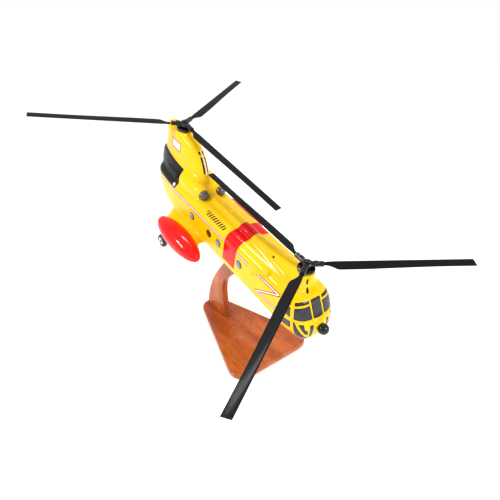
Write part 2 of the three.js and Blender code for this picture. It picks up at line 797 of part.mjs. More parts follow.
function peg(grow = 0) {
  const foot = bellyPoint(PEG_BELLY_X, 0);
  return cylinderAlong('z', PEG_R + grow, -PEG_BELOW - grow, PEG_INSIDE + grow)
    .rotateY(PITCH)
    .translate(foot.x, 0, foot.y);
}

function arm() {
  const bevel = 0.9;
  const board = new THREE.ExtrudeGeometry(armShape(), {
    depth: 2 * (ARM_HALF - bevel),
    bevelThickness: bevel,
    bevelSize: bevel,
    bevelOffset: -bevel,
    bevelSegments: 1,
  }).rotateX(Math.PI / 2).translate(0, ARM_HALF - bevel, 0);
  const holes = SCREW_X.map((x) => screwShape(GAP).translate(x, 0, 0));
  return subtract(board, peg(GAP), ...holes);
}

function buildStand() {
  const stand = new THREE.Group();
  stand.add(named('stand_base', base(), MAHOGANY));
  stand.add(named('base_felt', felt(), FELT));
  stand.add(named('stand_arm', arm(), MAHOGANY));
  stand.add(named('mounting_peg', peg(), STEEL));
  SCREW_X.forEach((x, i) => {
    stand.add(named(`arm_screw_${i + 1}`, screwShape().translate(x, 0, 0), STEEL));
  });
  return stand;
}

const group = new THREE.Group();
group.add(buildStand(), buildAirframe());

export default group;
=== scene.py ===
import math

import bmesh
import bpy
import numpy as np
from mathutils import Matrix, Vector
from mathutils.bvhtree import BVHTree
from mathutils.geometry import delaunay_2d_cdt


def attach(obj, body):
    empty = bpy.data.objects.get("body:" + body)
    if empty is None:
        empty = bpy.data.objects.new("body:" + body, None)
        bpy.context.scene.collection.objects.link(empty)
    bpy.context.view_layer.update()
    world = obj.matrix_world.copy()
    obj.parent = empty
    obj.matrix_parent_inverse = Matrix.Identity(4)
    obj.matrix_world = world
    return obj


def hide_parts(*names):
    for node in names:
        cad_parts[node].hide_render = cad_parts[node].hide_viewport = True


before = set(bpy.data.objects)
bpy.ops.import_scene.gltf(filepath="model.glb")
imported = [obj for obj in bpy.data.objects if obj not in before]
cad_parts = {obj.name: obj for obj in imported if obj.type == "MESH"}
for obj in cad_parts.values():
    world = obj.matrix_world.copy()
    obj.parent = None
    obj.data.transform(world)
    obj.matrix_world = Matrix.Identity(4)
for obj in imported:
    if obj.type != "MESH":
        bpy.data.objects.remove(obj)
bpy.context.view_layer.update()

# ---- Places and sizes, the same as the CAD's ----------------------------------------------------
# Lengths are millimetres, and every piece is placed in metres at the end. The airframe has its own
# frame: x from the front rotor's axis towards the nose, y to port, z up from the belly.

MM = Matrix.Scale(0.001, 4)
PITCH = math.radians(12.6)
AIRFRAME_AT = (0.1108, 0.0, 0.1042)
AIRFRAME = Matrix.Translation(AIRFRAME_AT) @ Matrix.Rotation(PITCH, 4, "Y") @ MM
STAND = MM

# Fuselage stations, nose to tail: x, half width, bottom, top, squareness of the section.
HULL = [
    [42.8, 0.8, 17.8, 20.6, 2.0],
    [42.2, 9.0, 8.6, 25.8, 2.3],
    [40.0, 17.2, 2.8, 29.0, 2.5],
    [35.5, 23.8, 0.4, 33.6, 2.6],
    [28.0, 28.2, 0.0, 45.0, 2.6],
    [23.2, 29.0, 0.0, 52.0, 2.8],
    [17.5, 29.3, 0.0, 54.4, 3.4],
    [0.0, 29.4, 0.0, 56.8, 4.0],
    [-60.0, 29.4, 0.0, 58.0, 4.2],
    [-150.0, 29.4, 0.0, 58.0, 4.2],
    [-232.0, 29.2, 0.0, 58.0, 4.0],
    [-255.0, 28.2, 4.0, 58.0, 3.9],
    [-275.0, 26.2, 13.0, 57.8, 3.7],
    [-292.0, 23.5, 26.0, 57.4, 3.4],
    [-302.0, 19.6, 34.0, 56.6, 3.0],
    [-308.0, 12.5, 39.0, 54.5, 2.6],
    [-310.2, 0.6, 46.0, 50.0, 2.0],
]
# Pylons as level slices: z, front x, back x, half thickness.
FORWARD_PYLON = [
    [44.0, 13.0, -20.0, 23.0],
    [54.0, 12.4, -18.0, 21.5],
    [60.0, 10.6, -15.4, 17.5],
    [66.0, 9.4, -13.6, 13.6],
    [71.0, 9.8, -12.6, 11.8],
    [75.0, 11.0, -12.4, 11.2],
]
# The fairing that climbs from the shaft cover to the forward pylon: x, half width, top.
FORWARD_RAMP = [
    [-96.0, 9.0, 63.6],
    [-76.0, 9.4, 64.6],
    [-58.0, 9.9, 66.2],
    [-40.0, 10.8, 68.7],
    [-24.0, 11.8, 71.4],
    [-12.0, 12.5, 73.6],
    [-2.0, 12.7, 74.4],
]
AFT_PYLON = [
    [44.0, -186.0, -312.0, 24.0],
    [58.0, -190.0, -319.0, 22.5],
    [68.0, -196.5, -319.5, 18.6],
    [75.5, -201.0, -317.0, 16.0],
    [79.5, -203.7, -312.5, 14.0],
    [92.0, -209.5, -311.0, 12.8],
    [104.0, -218.5, -310.0, 12.3],
    [112.0, -231.0, -307.5, 11.8],
    [117.0, -246.0, -302.0, 11.4],
    [119.6, -255.8, -290.0, 11.0],
]
# Ellipsoids: middle, half lengths. A ball has one radius.
TAIL_HUMP = ((-290.5, 0.0, 113.6), (17.5, 10.6, 10.4))
SPINE = dict(front=-20, back=-214, half=9.0, top=63.6, foot=50)
NACELLE_Y = 12.4
NACELLE_Z = 63.0
# Slices of a nacelle: x, radius.
NACELLE = [
    [-190, 8.4], [-193.5, 9.8], [-201, 11.2], [-212, 12.1],
    [-224, 12.4], [-237, 12.3], [-239, 11.7], [-240, 10.4],
]
INTAKE = ((-188.6, -13.6, 62.4), 7.3)
EXHAUST = dict(at=(-248.2, -19.4, 63.6), outer=4.4, inner=3.4, half=4.6, yaw=math.radians(62))
POD = ((-183.6, -54.7, 6.8), (51.8, 16.4, 16.1))
# Slices of a sponson stub: distance out, x, half length, z, half height.
STUB = [
    [20, -204, 43, 6.5, 9.5],
    [31, -203, 42, 6.5, 9.2],
    [38, -199, 40, 6.6, 8.6],
    [48, -194, 37, 6.8, 8.0],
]
RADOME = ((47.6, 0.0, 22.0), 6.9)
HOIST = ((-35.0, -26.0, 54.8), (-43.0, -40.0, 51.5))
PORTHOLE_Z = 31.2
PORTHOLE_R = 5.9
# Portholes: x, and whether the lens is domed.
PORTHOLES = [[-79, True], [-125.5, True], [-148, False], [-191, True]]
PEG_X = -112
PEG_R = 3.0

MAIN_WHEEL = dict(x=-222.5, y=57.8, z=-25, r=9.8, half=3.4)
NOSE_WHEEL = dict(x=-26, y=0, z=-22.5, r=7.6, half=2.8)

# Rotors: hub place, tilts and blade pitch in degrees.
ROTORS = {
    "front": dict(x=0, z=84.0, tilt=-0.2, roll=2.5, pitch=7, azimuth=59.6, cone=0.7, boot=-8.6),
    "aft": dict(x=-267.4, z=128.8, tilt=3.6, roll=-0.35, pitch=-1, azimuth=3.0, cone=-1.5, boot=-8.9),
}
BLADE_TIP = 201.2
BLADE_ROOT = 19.3
LEADING = 3.3
TRAILING = 7.0
SLEEVE_R = 3.3
SLEEVE_END = 18.9
HUB_R = 5.6
HUB_HALF = 3.4
BOOT_R = 10.4

BASE_BOTTOM = 1.3
BASE_TOP = 9.4
BASE_FRONT = 84.8
BASE_FRONT_HALF = 71.5
BASE_BACK_HALF = 15.5
BASE_CORNER = 33
BASE_EDGE = 1.6
# The arm in side view: its two edges from foot to head as (x, z), and where its head meets the belly.
ARM_HALF = 5.2
ARM_EDGE = 1.3
ARM_BACK_EDGE = [
    [-81.0, 9.7], [-77.8, 24.0], [-73.3, 40.5], [-66.5, 57.0], [-58.2, 73.0], [-47.5, 88.5], [-35.8, 103.5],
]
ARM_FRONT_EDGE = [
    [-31.0, 9.7], [-34.0, 27.0], [-36.2, 44.0], [-36.6, 57.5],
    [-35.0, 68.0], [-30.8, 77.5], [-24.3, 86.0], [-15.0, 95.3],
]
ARM_HEAD = [-130, -92]


# ---- Shader arithmetic --------------------------------------------------------------------------

class Number:
    """A number that a material works out at each point of a surface."""

    def __init__(self, tree, socket):
        self.tree = tree
        self.socket = socket

    def math(self, operation, *others):
        node = self.tree.nodes.new("ShaderNodeMath")
        node.operation = operation
        for place, value in zip(node.inputs, (self,) + others):
            if isinstance(value, Number):
                self.tree.links.new(value.socket, place)
            else:
                place.default_value = value
        return Number(self.tree, node.outputs[0])

    def __add__(self, other):
        return self.math("ADD", other)

    def __sub__(self, other):
        return self.math("SUBTRACT", other)

    def __mul__(self, other):
        return self.math("MULTIPLY", other)

    def least(self, other):
        return self.math("MINIMUM", other)

    def most(self, other):
        return self.math("MAXIMUM", other)

    def size(self):
        return self.math("ABSOLUTE")

    def clamped(self):
        node = self.tree.nodes.new("ShaderNodeClamp")
        self.tree.links.new(self.socket, node.inputs[0])
        return Number(self.tree, node.outputs[0])

    def above(self, edge, soft=0.12):
        """1 where the number is above edge, 0 below it."""
        return ((self - edge) * (0.5 / soft) + 0.5).clamped()

    def below(self, edge, soft=0.12):
        return ((self - edge) * (-0.5 / soft) + 0.5).clamped()

    def between(self, low, high):
        return self.above(low) * self.below(high)


def either(*masks):
    total = masks[0]
    for mask in masks[1:]:
        total = total.most(mask)
    return total


def box(a, b, middle, half_a, half_b):
    """1 inside a rectangle of the plane of a and b."""
    return (a - middle[0]).size().below(half_a) * (b - middle[1]).size().below(half_b)


def to_segment(a, b, start, end):
    """Distance in the plane of a and b to the line between two points."""
    along = (end[0] - start[0], end[1] - start[1])
    length = along[0] ** 2 + along[1] ** 2
    da = a - start[0]
    db = b - start[1]
    share = ((da * along[0] + db * along[1]) * (1 / length)).clamped()
    ra = da - share * along[0]
    rb = db - share * along[1]
    return (ra * ra + rb * rb).math("SQRT")


class Paint:
    """A material in the making: a principled shader, and the airframe's or the stand's millimetres."""

    def __init__(self, name, roughness, **sockets):
        self.material = bpy.data.materials.new(name)
        self.material.use_nodes = True
        self.tree = self.material.node_tree
        self.shader = self.tree.nodes["Principled BSDF"]
        self.shader.inputs["Roughness"].default_value = roughness
        for socket, value in sockets.items():
            self.shader.inputs[socket.replace("_", " ")].default_value = value
        self.point = None

    def node(self, kind, **settings):
        node = self.tree.nodes.new(kind)
        for key, value in settings.items():
            setattr(node, key, value)
        return node

    def link(self, start, end):
        self.tree.links.new(start, end)

    def place(self, stand=False):
        """Where the point is, in millimetres."""
        if self.point is None:
            source = self.node("ShaderNodeTexCoord")
            mapping = self.node("ShaderNodeMapping", vector_type="TEXTURE")
            mapping.inputs["Scale"].default_value = (0.001, 0.001, 0.001)
            if not stand:
                mapping.inputs["Location"].default_value = AIRFRAME_AT
                mapping.inputs["Rotation"].default_value = (0, PITCH, 0)
            self.link(source.outputs["Object"], mapping.inputs["Vector"])
            self.point = mapping.outputs["Vector"]
        return self.point

    def axes(self, stand=False):
        split = self.node("ShaderNodeSeparateXYZ")
        self.link(self.place(stand), split.inputs[0])
        return [Number(self.tree, output) for output in split.outputs]

    def noise(self, scale, detail=3, stretch=(1, 1, 1), roughness=0.5, stand=False):
        """Noise of about one wave in every 1/scale millimetres."""
        mapping = self.node("ShaderNodeMapping")
        mapping.inputs["Scale"].default_value = stretch
        self.link(self.place(stand), mapping.inputs["Vector"])
        texture = self.node("ShaderNodeTexNoise")
        texture.inputs["Scale"].default_value = scale
        texture.inputs["Detail"].default_value = detail
        texture.inputs["Roughness"].default_value = roughness
        self.link(mapping.outputs["Vector"], texture.inputs["Vector"])
        return Number(self.tree, texture.outputs["Fac"])

    def attribute(self, name):
        node = self.node("ShaderNodeAttribute", attribute_name=name)
        return Number(self.tree, node.outputs["Fac"])

    def colours(self, factor, *stops):
        """A colour that runs through the stops (position, r, g, b) with factor."""
        ramp = self.node("ShaderNodeValToRGB")
        elements = ramp.color_ramp.elements
        for element, stop in zip((elements[0], elements[1]), (stops[0], stops[-1])):
            element.position = stop[0]
            element.color = (*stop[1:], 1)
        for stop in stops[1:-1]:
            elements.new(stop[0]).color = (*stop[1:], 1)
        self.link(factor.socket, ramp.inputs[0])
        return ramp.outputs[0]

    def over(self, mask, colour, under):
        """colour where mask is 1, under where it is 0."""
        mix = self.node("ShaderNodeMix", data_type="RGBA")
        self.link(mask.socket, mix.inputs["Factor"])
        self.link(under, mix.inputs["A"])
        mix.inputs["B"].default_value = (*colour, 1)
        return mix.outputs["Result"]

    def base(self, colour):
        if isinstance(colour, tuple):
            self.shader.inputs["Base Color"].default_value = (*colour, 1)
        else:
            self.link(colour, self.shader.inputs["Base Color"])

    def dull(self, number):
        self.link(number.socket, self.shader.inputs["Roughness"])

    def bump(self, height, strength, distance=0.0002):
        bump = self.node("ShaderNodeBump")
        bump.inputs["Strength"].default_value = strength
        bump.inputs["Distance"].default_value = distance
        self.link(height.socket, bump.inputs["Height"])
        self.link(bump.outputs["Normal"], self.shader.inputs["Normal"])


# ---- Materials ----------------------------------------------------------------------------------

RED = (0.68, 0.001, 0.002)
NEAR_BLACK = (0.003, 0.003, 0.004)
STRIPE_RED = (0.30, 0.001, 0.002)
STRIPE_WHITE = (0.95, 0.90, 0.80)
PANEL_RED = (0.72, 0.10, 0.10)
# The tail panel's pale, also used for the painted highlight along the aft pylon's ridge.
PANEL_AND_HIGHLIGHT_PALE = (0.86, 0.84, 0.72)

# The red band's ends, the stripe along the side as runs of (x, z) points, and the gap it leaves free.
BAND = (-113.3, -87.3)
STRIPE_GAP = (-62.0, -48.8)
STRIPE = [
    [(-330, 43.0), (BAND[0], 43.4)],
    [(BAND[1], 43.6), (STRIPE_GAP[0], 43.8)],
    [(STRIPE_GAP[1], 44.0), (-4.1, 44.8), (-41.6, 19.8), (24.0, 23.6)],
]
PANEL_AT = (-268.8, 99.2)


def lacquer_surface(paint):
    """The faint waviness and uneven gloss of brushed lacquer over carved wood."""
    paint.bump(paint.noise(0.45, 2) + paint.noise(0.09, 2) * 3, 0.16)
    paint.dull(paint.noise(0.06, 3) * 0.12 + 0.22)


def drifting(name, roughness, scale, stops, **sockets):
    """Brushed lacquer whose colour drifts between two stops."""
    paint = Paint(name, roughness, Coat_Roughness=0.03, **sockets)
    paint.base(paint.colours(paint.noise(scale, 3), *stops))
    lacquer_surface(paint)
    return paint.material


def yellow_lacquer():
    """The airframe's main finish, with the marks painted on it and a painted highlight along the aft
    pylon's leading edge. The name is plain slanted dashes.
    """
    paint = Paint("yellow_lacquer", 0.3, Coat_Weight=0.45, Coat_Roughness=0.03, Specular_IOR_Level=0.05)
    x, y, z = paint.axes()
    side = y.size()
    tint = paint.noise(0.025, 3)
    colour = paint.colours(tint, (0.3, 0.87, 0.51, 0.0), (0.7, 0.93, 0.58, 0.0))

    band = x.between(*BAND) * z.above(16.0)
    first, *others = [to_segment(x, z, *ends) for run in STRIPE for ends in zip(run, run[1:])]
    line = first
    for other in others:
        line = line.least(other)
    on_side = side.above(19.0) * x.below(8.0)
    free = band.math("SUBTRACT", 1.0).size()
    gap = either(x.below(STRIPE_GAP[0]), x.above(STRIPE_GAP[1]) * free)
    stripe = line.below(2.0) * on_side * gap * free
    core = line.below(0.72) * on_side * gap * free
    colour = paint.over(band, RED, colour)
    colour = paint.over(stripe, STRIPE_RED, colour)
    colour = paint.over(core, STRIPE_WHITE, colour)

    # The black panel around the exhausts.
    under_edge = z + (x + 250.0) * 0.06
    edge = (z.math("SUBTRACT", 55.0) * 0.35).least(0.0) - 239.4
    soot = z.above(45.9) * under_edge.below(76.2) * (x - edge).below(0.0)
    # The marks on the aft pylon's leading edge, a painted highlight along its ridge, and the two dashes
    # ahead of the forward pylon.
    ahead = x.between(-236, -190)
    strips = (side - 2.6).size().below(1.15) * ahead
    strips = strips * either(z.between(83.2, 103.0), z.between(105.0, 108.2))
    # The pale line along the ridge between the strips is a painted highlight.
    ridge_highlight = side.below(0.8) * ahead * z.between(82.5, 109.5)
    upper = to_segment(y, z, (-3.4, 68.8), (-2.7, 63.4)).below(1.6)
    lower = to_segment(x, y, (12.6, -3.0), (15.2, -5.0)).below(1.5) * z.above(53.0)
    dashes = either(upper, lower) * x.above(2.0)
    # A row of slanted dashes on the roof's edge, and a bordered pale panel on the tail.
    slanted = x + side * 0.5
    bars = ((slanted * 0.22).math("FRACT") - 0.5).size().below(0.27, 0.03)
    mark = bars * x.between(-164.0, -122.0) * side.between(20.4, 26.0) * z.above(50.0)
    panel = box(x, z, PANEL_AT, 12.6, 7.4)
    inner = box(x, z, PANEL_AT, 10.4, 5.2)
    colour = paint.over(panel, PANEL_RED, colour)
    # The panel's pale inside, and the painted highlight along the leading edge's ridge.
    colour = paint.over(either(inner, ridge_highlight), PANEL_AND_HIGHLIGHT_PALE, colour)
    colour = paint.over(either(soot, strips, dashes, mark), NEAR_BLACK, colour)
    paint.base(colour)
    lacquer_surface(paint)
    return paint.material


def red_lacquer():
    stops = (0.3, 0.66, 0.002, 0.001), (0.7, 0.74, 0.004, 0.002)
    return drifting("red_lacquer", 0.3, 0.03, stops, Coat_Weight=0.5, Specular_IOR_Level=0.05)


def window_grey():
    """Dark panes, blacker along the rim and lighter towards the middle."""
    paint = Paint("window_grey", 0.3, Coat_Weight=0.45, Coat_Roughness=0.03, Specular_IOR_Level=0.15)
    inset = paint.attribute("inset") + paint.noise(0.3, 2) * 0.5
    paint.base(paint.colours(inset * 0.4, (0.30, 0.004, 0.003, 0.003), (0.62, 0.028, 0.030, 0.036)))
    lacquer_surface(paint)
    return paint.material


def porthole(name, middle, rim):
    paint = Paint(name, 0.15, Coat_Weight=0.7, Coat_Roughness=0.02, Specular_IOR_Level=0.3)
    inset = paint.attribute("inset") * 0.22 + paint.noise(0.2, 2) * 0.2
    paint.base(paint.colours(inset, (0.12, *rim), (0.6, *middle)))
    lacquer_surface(paint)
    return paint.material


def intake_olive():
    stops = (0.35, 0.030, 0.026, 0.022), (0.7, 0.085, 0.070, 0.030)
    return drifting("intake_olive", 0.2, 0.12, stops, Coat_Weight=1.0)


def black_gloss():
    stops = (0.3, 0.002, 0.002, 0.003), (0.7, 0.004, 0.004, 0.005)
    return drifting("black_gloss", 0.3, 0.2, stops, Coat_Weight=0.7, Specular_IOR_Level=0.05)


def blade_grey():
    """Satin charcoal with fine streaks along the blades and lighter edges, partly rubbed paint and partly a
    painted highlight.
    """
    paint = Paint("blade_grey", 0.36, Coat_Weight=0.08, Coat_Roughness=0.12, Specular_IOR_Level=0.06)
    streak = paint.noise(0.5, 4, roughness=0.7)
    # Lighter near the edges and tip: partly rubbed paint, partly a painted highlight along the edges.
    edge_wear_and_highlight = paint.attribute("edge") * paint.noise(0.35, 3)
    colour = paint.colours(streak, (0.3, 0.003, 0.003, 0.0035), (0.75, 0.007, 0.007, 0.008))
    paint.base(paint.over(edge_wear_and_highlight.above(0.46, 0.1) * 0.4, (0.05, 0.05, 0.055), colour))
    paint.dull(paint.noise(0.15, 3) * 0.2 + 0.30)
    paint.bump(paint.noise(1.2, 3), 0.15, 0.0001)
    return paint.material


def steel():
    paint = Paint("steel", 0.22, Metallic=1.0)
    paint.base(paint.colours(paint.noise(0.4, 3), (0.3, 0.52, 0.53, 0.55), (0.7, 0.72, 0.73, 0.75)))
    paint.dull(paint.noise(1.0, 3, (1, 1, 8)) * 0.18 + 0.12)
    paint.bump(paint.noise(2.0, 2, (1, 1, 6)), 0.1, 0.0001)
    return paint.material


def lamp_white():
    paint = Paint("lamp_white", 0.2, Coat_Weight=0.6, Coat_Roughness=0.03)
    paint.base(paint.colours(paint.noise(0.3, 2), (0.3, 0.82, 0.82, 0.80), (0.7, 0.92, 0.92, 0.92)))
    return paint.material


def wheel_black():
    paint = Paint("wheel_black", 0.6)
    paint.base(paint.colours(paint.noise(0.5, 4), (0.3, 0.014, 0.014, 0.014), (0.7, 0.035, 0.034, 0.032)))
    paint.dull(paint.noise(0.4, 3) * 0.3 + 0.45)
    paint.bump(paint.noise(1.5, 3), 0.3, 0.0002)
    return paint.material


def mahogany(name, stretch):
    """Orange-brown wood with long streaks and fine pores, under thick clear lacquer."""
    paint = Paint(name, 0.35, Coat_Weight=0.5, Coat_Roughness=0.03, Specular_IOR_Level=0.15)
    broad = paint.noise(0.05, 4, stretch, 0.6, stand=True)
    fine = paint.noise(0.45, 5, stretch, 0.65, stand=True)
    pores = paint.noise(1.6, 2, stretch, 0.5, stand=True)
    grain = broad * 0.62 + fine * 0.38
    colour = paint.colours(
        grain,
        (0.33, 0.20, 0.032, 0.005),
        (0.46, 0.36, 0.070, 0.010),
        (0.56, 0.47, 0.108, 0.018),
        (0.68, 0.60, 0.175, 0.040),
    )
    colour = paint.over(pores.above(0.62, 0.05) * 0.45, (0.10, 0.022, 0.008), colour)
    paint.base(colour)
    paint.dull(fine * 0.2 + 0.25)
    paint.bump(pores + fine, 0.08, 0.0001)
    return paint.material


def felt_green():
    paint = Paint("felt_green", 0.95, Sheen_Weight=0.5)
    fibres = paint.noise(1.5, 5, stand=True)
    paint.base(paint.colours(fibres, (0.3, 0.010, 0.040, 0.022), (0.7, 0.028, 0.085, 0.048)))
    paint.bump(paint.noise(3.0, 4, stand=True), 0.8, 0.0003)
    return paint.material


MATERIALS = {
    "yellow_lacquer": yellow_lacquer(),
    "red_lacquer": red_lacquer(),
    "window_grey": window_grey(),
    "porthole_grey": porthole("porthole_grey", (0.20, 0.26, 0.31), (0.05, 0.06, 0.07)),
    "porthole_brown": porthole("porthole_brown", (0.065, 0.024, 0.010), (0.03, 0.012, 0.006)),
    "intake_olive": intake_olive(),
    "black_gloss": black_gloss(),
    "blade_grey": blade_grey(),
    "steel": steel(),
    "wheel_black": wheel_black(),
    "mahogany": mahogany("mahogany_board", (0.16, 1.0, 0.5)),
    "felt_green": felt_green(),
}
UPRIGHT_GRAIN = mahogany("mahogany_arm", (1.0, 0.5, 0.14))
LAMP_WHITE = lamp_white()


# ---- Making pieces ------------------------------------------------------------------------------

def smooth_rows(rows, steps):
    """A table's columns as smooth curves that never overshoot, with steps samples in each gap."""
    rows = np.array(rows, float)
    gaps = np.sqrt(np.linalg.norm(np.diff(rows, axis=0), axis=1))[:, None]
    slopes = np.diff(rows, axis=0) / gaps
    before, after = slopes[:-1], slopes[1:]
    same = before * after > 0
    middle = np.where(same, 2 * before * after / np.where(same, before + after, 1), 0)
    tangents = np.vstack([slopes[:1], middle, slopes[-1:]])
    out = []
    for i, gap in enumerate(gaps[:, 0]):
        for t in np.arange(steps) / steps:
            out.append(
                (2 * t**3 - 3 * t**2 + 1) * rows[i]
                + (t**3 - 2 * t**2 + t) * gap * tangents[i]
                + (-2 * t**3 + 3 * t**2) * rows[i + 1]
                + (t**3 - t**2) * gap * tangents[i + 1]
            )
    return out + [rows[-1]]


def power(value, squareness):
    return np.sign(value) * np.abs(value) ** (2 / squareness)


def rounded_box(half_a, half_b, squareness, count):
    angle = 2 * np.pi * (np.arange(count) + 0.5) / count
    return half_a * power(np.cos(angle), squareness), half_b * power(np.sin(angle), squareness)


def circle(radius, count):
    return rounded_box(radius, radius, 2, count)


def stack(*columns):
    return np.stack(np.broadcast_arrays(*columns), axis=1)


class Solid:
    """Points in millimetres and the faces over them."""

    def __init__(self, points, faces):
        self.points = np.asarray(points, float)
        self.faces = [tuple(int(i) for i in face) for face in faces]

    def moved(self, matrix):
        spot = np.c_[self.points, np.ones(len(self.points))] @ np.array(matrix).T
        return Solid(spot[:, :3], self.faces)

    def mirrored(self):
        return Solid(self.points * (1, -1, 1), [face[::-1] for face in self.faces])

    def __add__(self, other):
        start = len(self.points)
        faces = self.faces + [tuple(i + start for i in face) for face in other.faces]
        return Solid(np.vstack([self.points, other.points]), faces)

    def mesh(self, name):
        mesh = bpy.data.meshes.new(name)
        mesh.from_pydata(self.points.tolist(), [], self.faces)
        shell = bmesh.new()
        shell.from_mesh(mesh)
        bmesh.ops.recalc_face_normals(shell, faces=shell.faces)
        shell.to_mesh(mesh)
        shell.free()
        return mesh


def bands(rings, count):
    """The faces between each ring of count points and the next."""
    faces = []
    for start in range(0, (rings - 1) * count, count):
        for i in range(count):
            a, b = start + i, start + (i + 1) % count
            faces.append((a, b, b + count, a + count))
    return faces


def loft(rings):
    """A closed skin over rings of equally many points, with a cap at each end."""
    rings = [np.asarray(ring, float) for ring in rings]
    count = len(rings[0])
    faces = bands(len(rings), count)
    points = np.vstack(rings + [rings[0].mean(0), rings[-1].mean(0)])
    last = (len(rings) - 1) * count
    for first, middle in ((0, last + count), (last, last + count + 1)):
        faces += [(first + i, first + (i + 1) % count, middle) for i in range(count)]
    return Solid(points, faces)


def lathe(profile, sides=48, matrix=Matrix.Identity(4)):
    """A solid of revolution about z from (radius, z) points that start and end on the axis."""
    rings = [stack(*circle(max(r, 0.01), sides), z) for r, z in profile]
    return loft(rings).moved(matrix)


def ellipsoid(middle, halves, sides=64):
    rings = []
    for angle in np.linspace(-np.pi / 2 + 0.03, np.pi / 2 - 0.03, sides // 2):
        a, b = circle(math.cos(angle), sides)
        rings.append(stack(math.sin(angle), a, b) * halves + middle)
    return loft(rings)


def tube(points, radii, sides=24):
    """A round bar along points, of the given radius at each."""
    points = [Vector(p) for p in points]
    rings = []
    side = Vector((0.3, 0.2, 0.93))
    for i, point in enumerate(points):
        ahead = points[min(i + 1, len(points) - 1)] - points[max(i - 1, 0)]
        across = ahead.cross(side).normalized()
        up = across.cross(ahead).normalized()
        a, b = circle(radii[i], sides)
        rings.append(np.array(point) + np.outer(a, across) + np.outer(b, up))
    return loft(rings)


def turned(axis, degrees):
    return Matrix.Rotation(math.radians(degrees), 4, axis)


def temporary(solid):
    thing = bpy.data.objects.new("temporary", solid.mesh("temporary"))
    bpy.context.scene.collection.objects.link(thing)
    return thing


def evaluated(thing):
    """The mesh of an object with its modifiers applied, after which the object is gone."""
    graph = bpy.context.evaluated_depsgraph_get()
    mesh = bpy.data.meshes.new_from_object(thing.evaluated_get(graph), depsgraph=graph)
    bpy.data.objects.remove(thing)
    return mesh


def solid_from(mesh):
    points = np.empty(len(mesh.vertices) * 3)
    mesh.vertices.foreach_get("co", points)
    return Solid(points.reshape(-1, 3), [tuple(face.vertices) for face in mesh.polygons])


def combined(first, operation, *others):
    """first with the others added to it or cut out of it, as one closed solid."""
    tools = [temporary(other) for other in others]
    whole = temporary(first)
    for tool in tools:
        step = whole.modifiers.new("combine", "BOOLEAN")
        step.operation = operation
        step.solver = "EXACT"
        step.object = tool
    result = solid_from(evaluated(whole))
    for tool in tools:
        bpy.data.objects.remove(tool)
    return result


def piece(name, solid, slot, body, replaced=(), place=AIRFRAME, sharp=35, material=None, **values):
    """The solid as a Blender object with its finish, on its body. values are numbers for each point."""
    thing = bpy.data.objects.new(name, solid.mesh(name))
    bpy.context.scene.collection.objects.link(thing)
    for key, numbers in values.items():
        field = thing.data.attributes.new(key, "FLOAT", "POINT")
        field.data.foreach_set("value", np.asarray(numbers, np.float32))
    thing.data.transform(place)
    thing.data.materials.append(material or MATERIALS[slot])
    thing.data.shade_smooth()
    thing.data.set_sharp_from_angle(angle=math.radians(sharp))
    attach(thing, body)
    if replaced:
        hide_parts(*replaced)


def pair(name, solid, slot, node=None, **options):
    """The solid on the airframe's starboard side and its mirror image to port. node is the CAD's pair."""
    for side, shape in (("R", solid), ("L", solid.mirrored())):
        piece(f"{name}_{side}", shape, slot, "airframe", [f"{node}_{side}"] if node else [], **options)


# ---- The carved skin ----------------------------------------------------------------------------

def hull():
    rings = []
    for x, half, bottom, top, squareness in smooth_rows(HULL, 6):
        a, b = rounded_box(half, (top - bottom) / 2, squareness, 120)
        rings.append(stack(x, a, b + (bottom + top) / 2))
    return loft(rings)


def pylon(table, squareness):
    rings = []
    for z, front, back, half in smooth_rows(table, 6):
        reach = (front - back) / 2
        a, b = rounded_box(reach, half, squareness, 96)
        taper = 0.55 + 0.45 * np.sin(np.pi * (0.14 + 0.5 * (a / reach + 1) / 2))
        rings.append(stack((front + back) / 2 + a, b * taper, z))
    return loft(rings)


def roof_section(x, half, top):
    a, b = rounded_box(half, top - SPINE["foot"], 2.8, 64)
    return stack(x, a, b + SPINE["foot"])


def spine():
    stations = np.linspace(SPINE["front"], SPINE["back"], 40)
    return loft([roof_section(x, SPINE["half"], SPINE["top"]) for x in stations])


def forward_ramp():
    return loft([roof_section(*row) for row in smooth_rows(FORWARD_RAMP, 6)])


def nacelle():
    rings = []
    for x, radius in smooth_rows(NACELLE, 5):
        a, b = circle(radius, 64)
        rings.append(stack(x, a - NACELLE_Y, b + NACELLE_Z))
    return loft(rings)


def stub():
    rings = []
    for out, x, half_x, z, half_z in smooth_rows(STUB, 5):
        a, b = rounded_box(half_x, half_z, 2.3, 80)
        rings.append(stack(a + x, -out, b + z))
    return loft(rings)


def radome_ring():
    profile = [(0, -8), (10.5, -8), (9.6, -2), (9.2, 0.2), (8.9, 1.0), (8.2, 1.4), (0, 1.4)]
    return lathe(profile, 64, Matrix.Translation((41.4, 0, RADOME[0][2])) @ turned("Y", 90))


def near(share):
    """A soft step, from 0 at share 0 to 1 at share 1."""
    share = np.clip(share, 0, 1)
    return share * share * (3 - 2 * share)


VOXEL = 1.0
FAR = 99.0
SMOOTHING_PASSES = 46


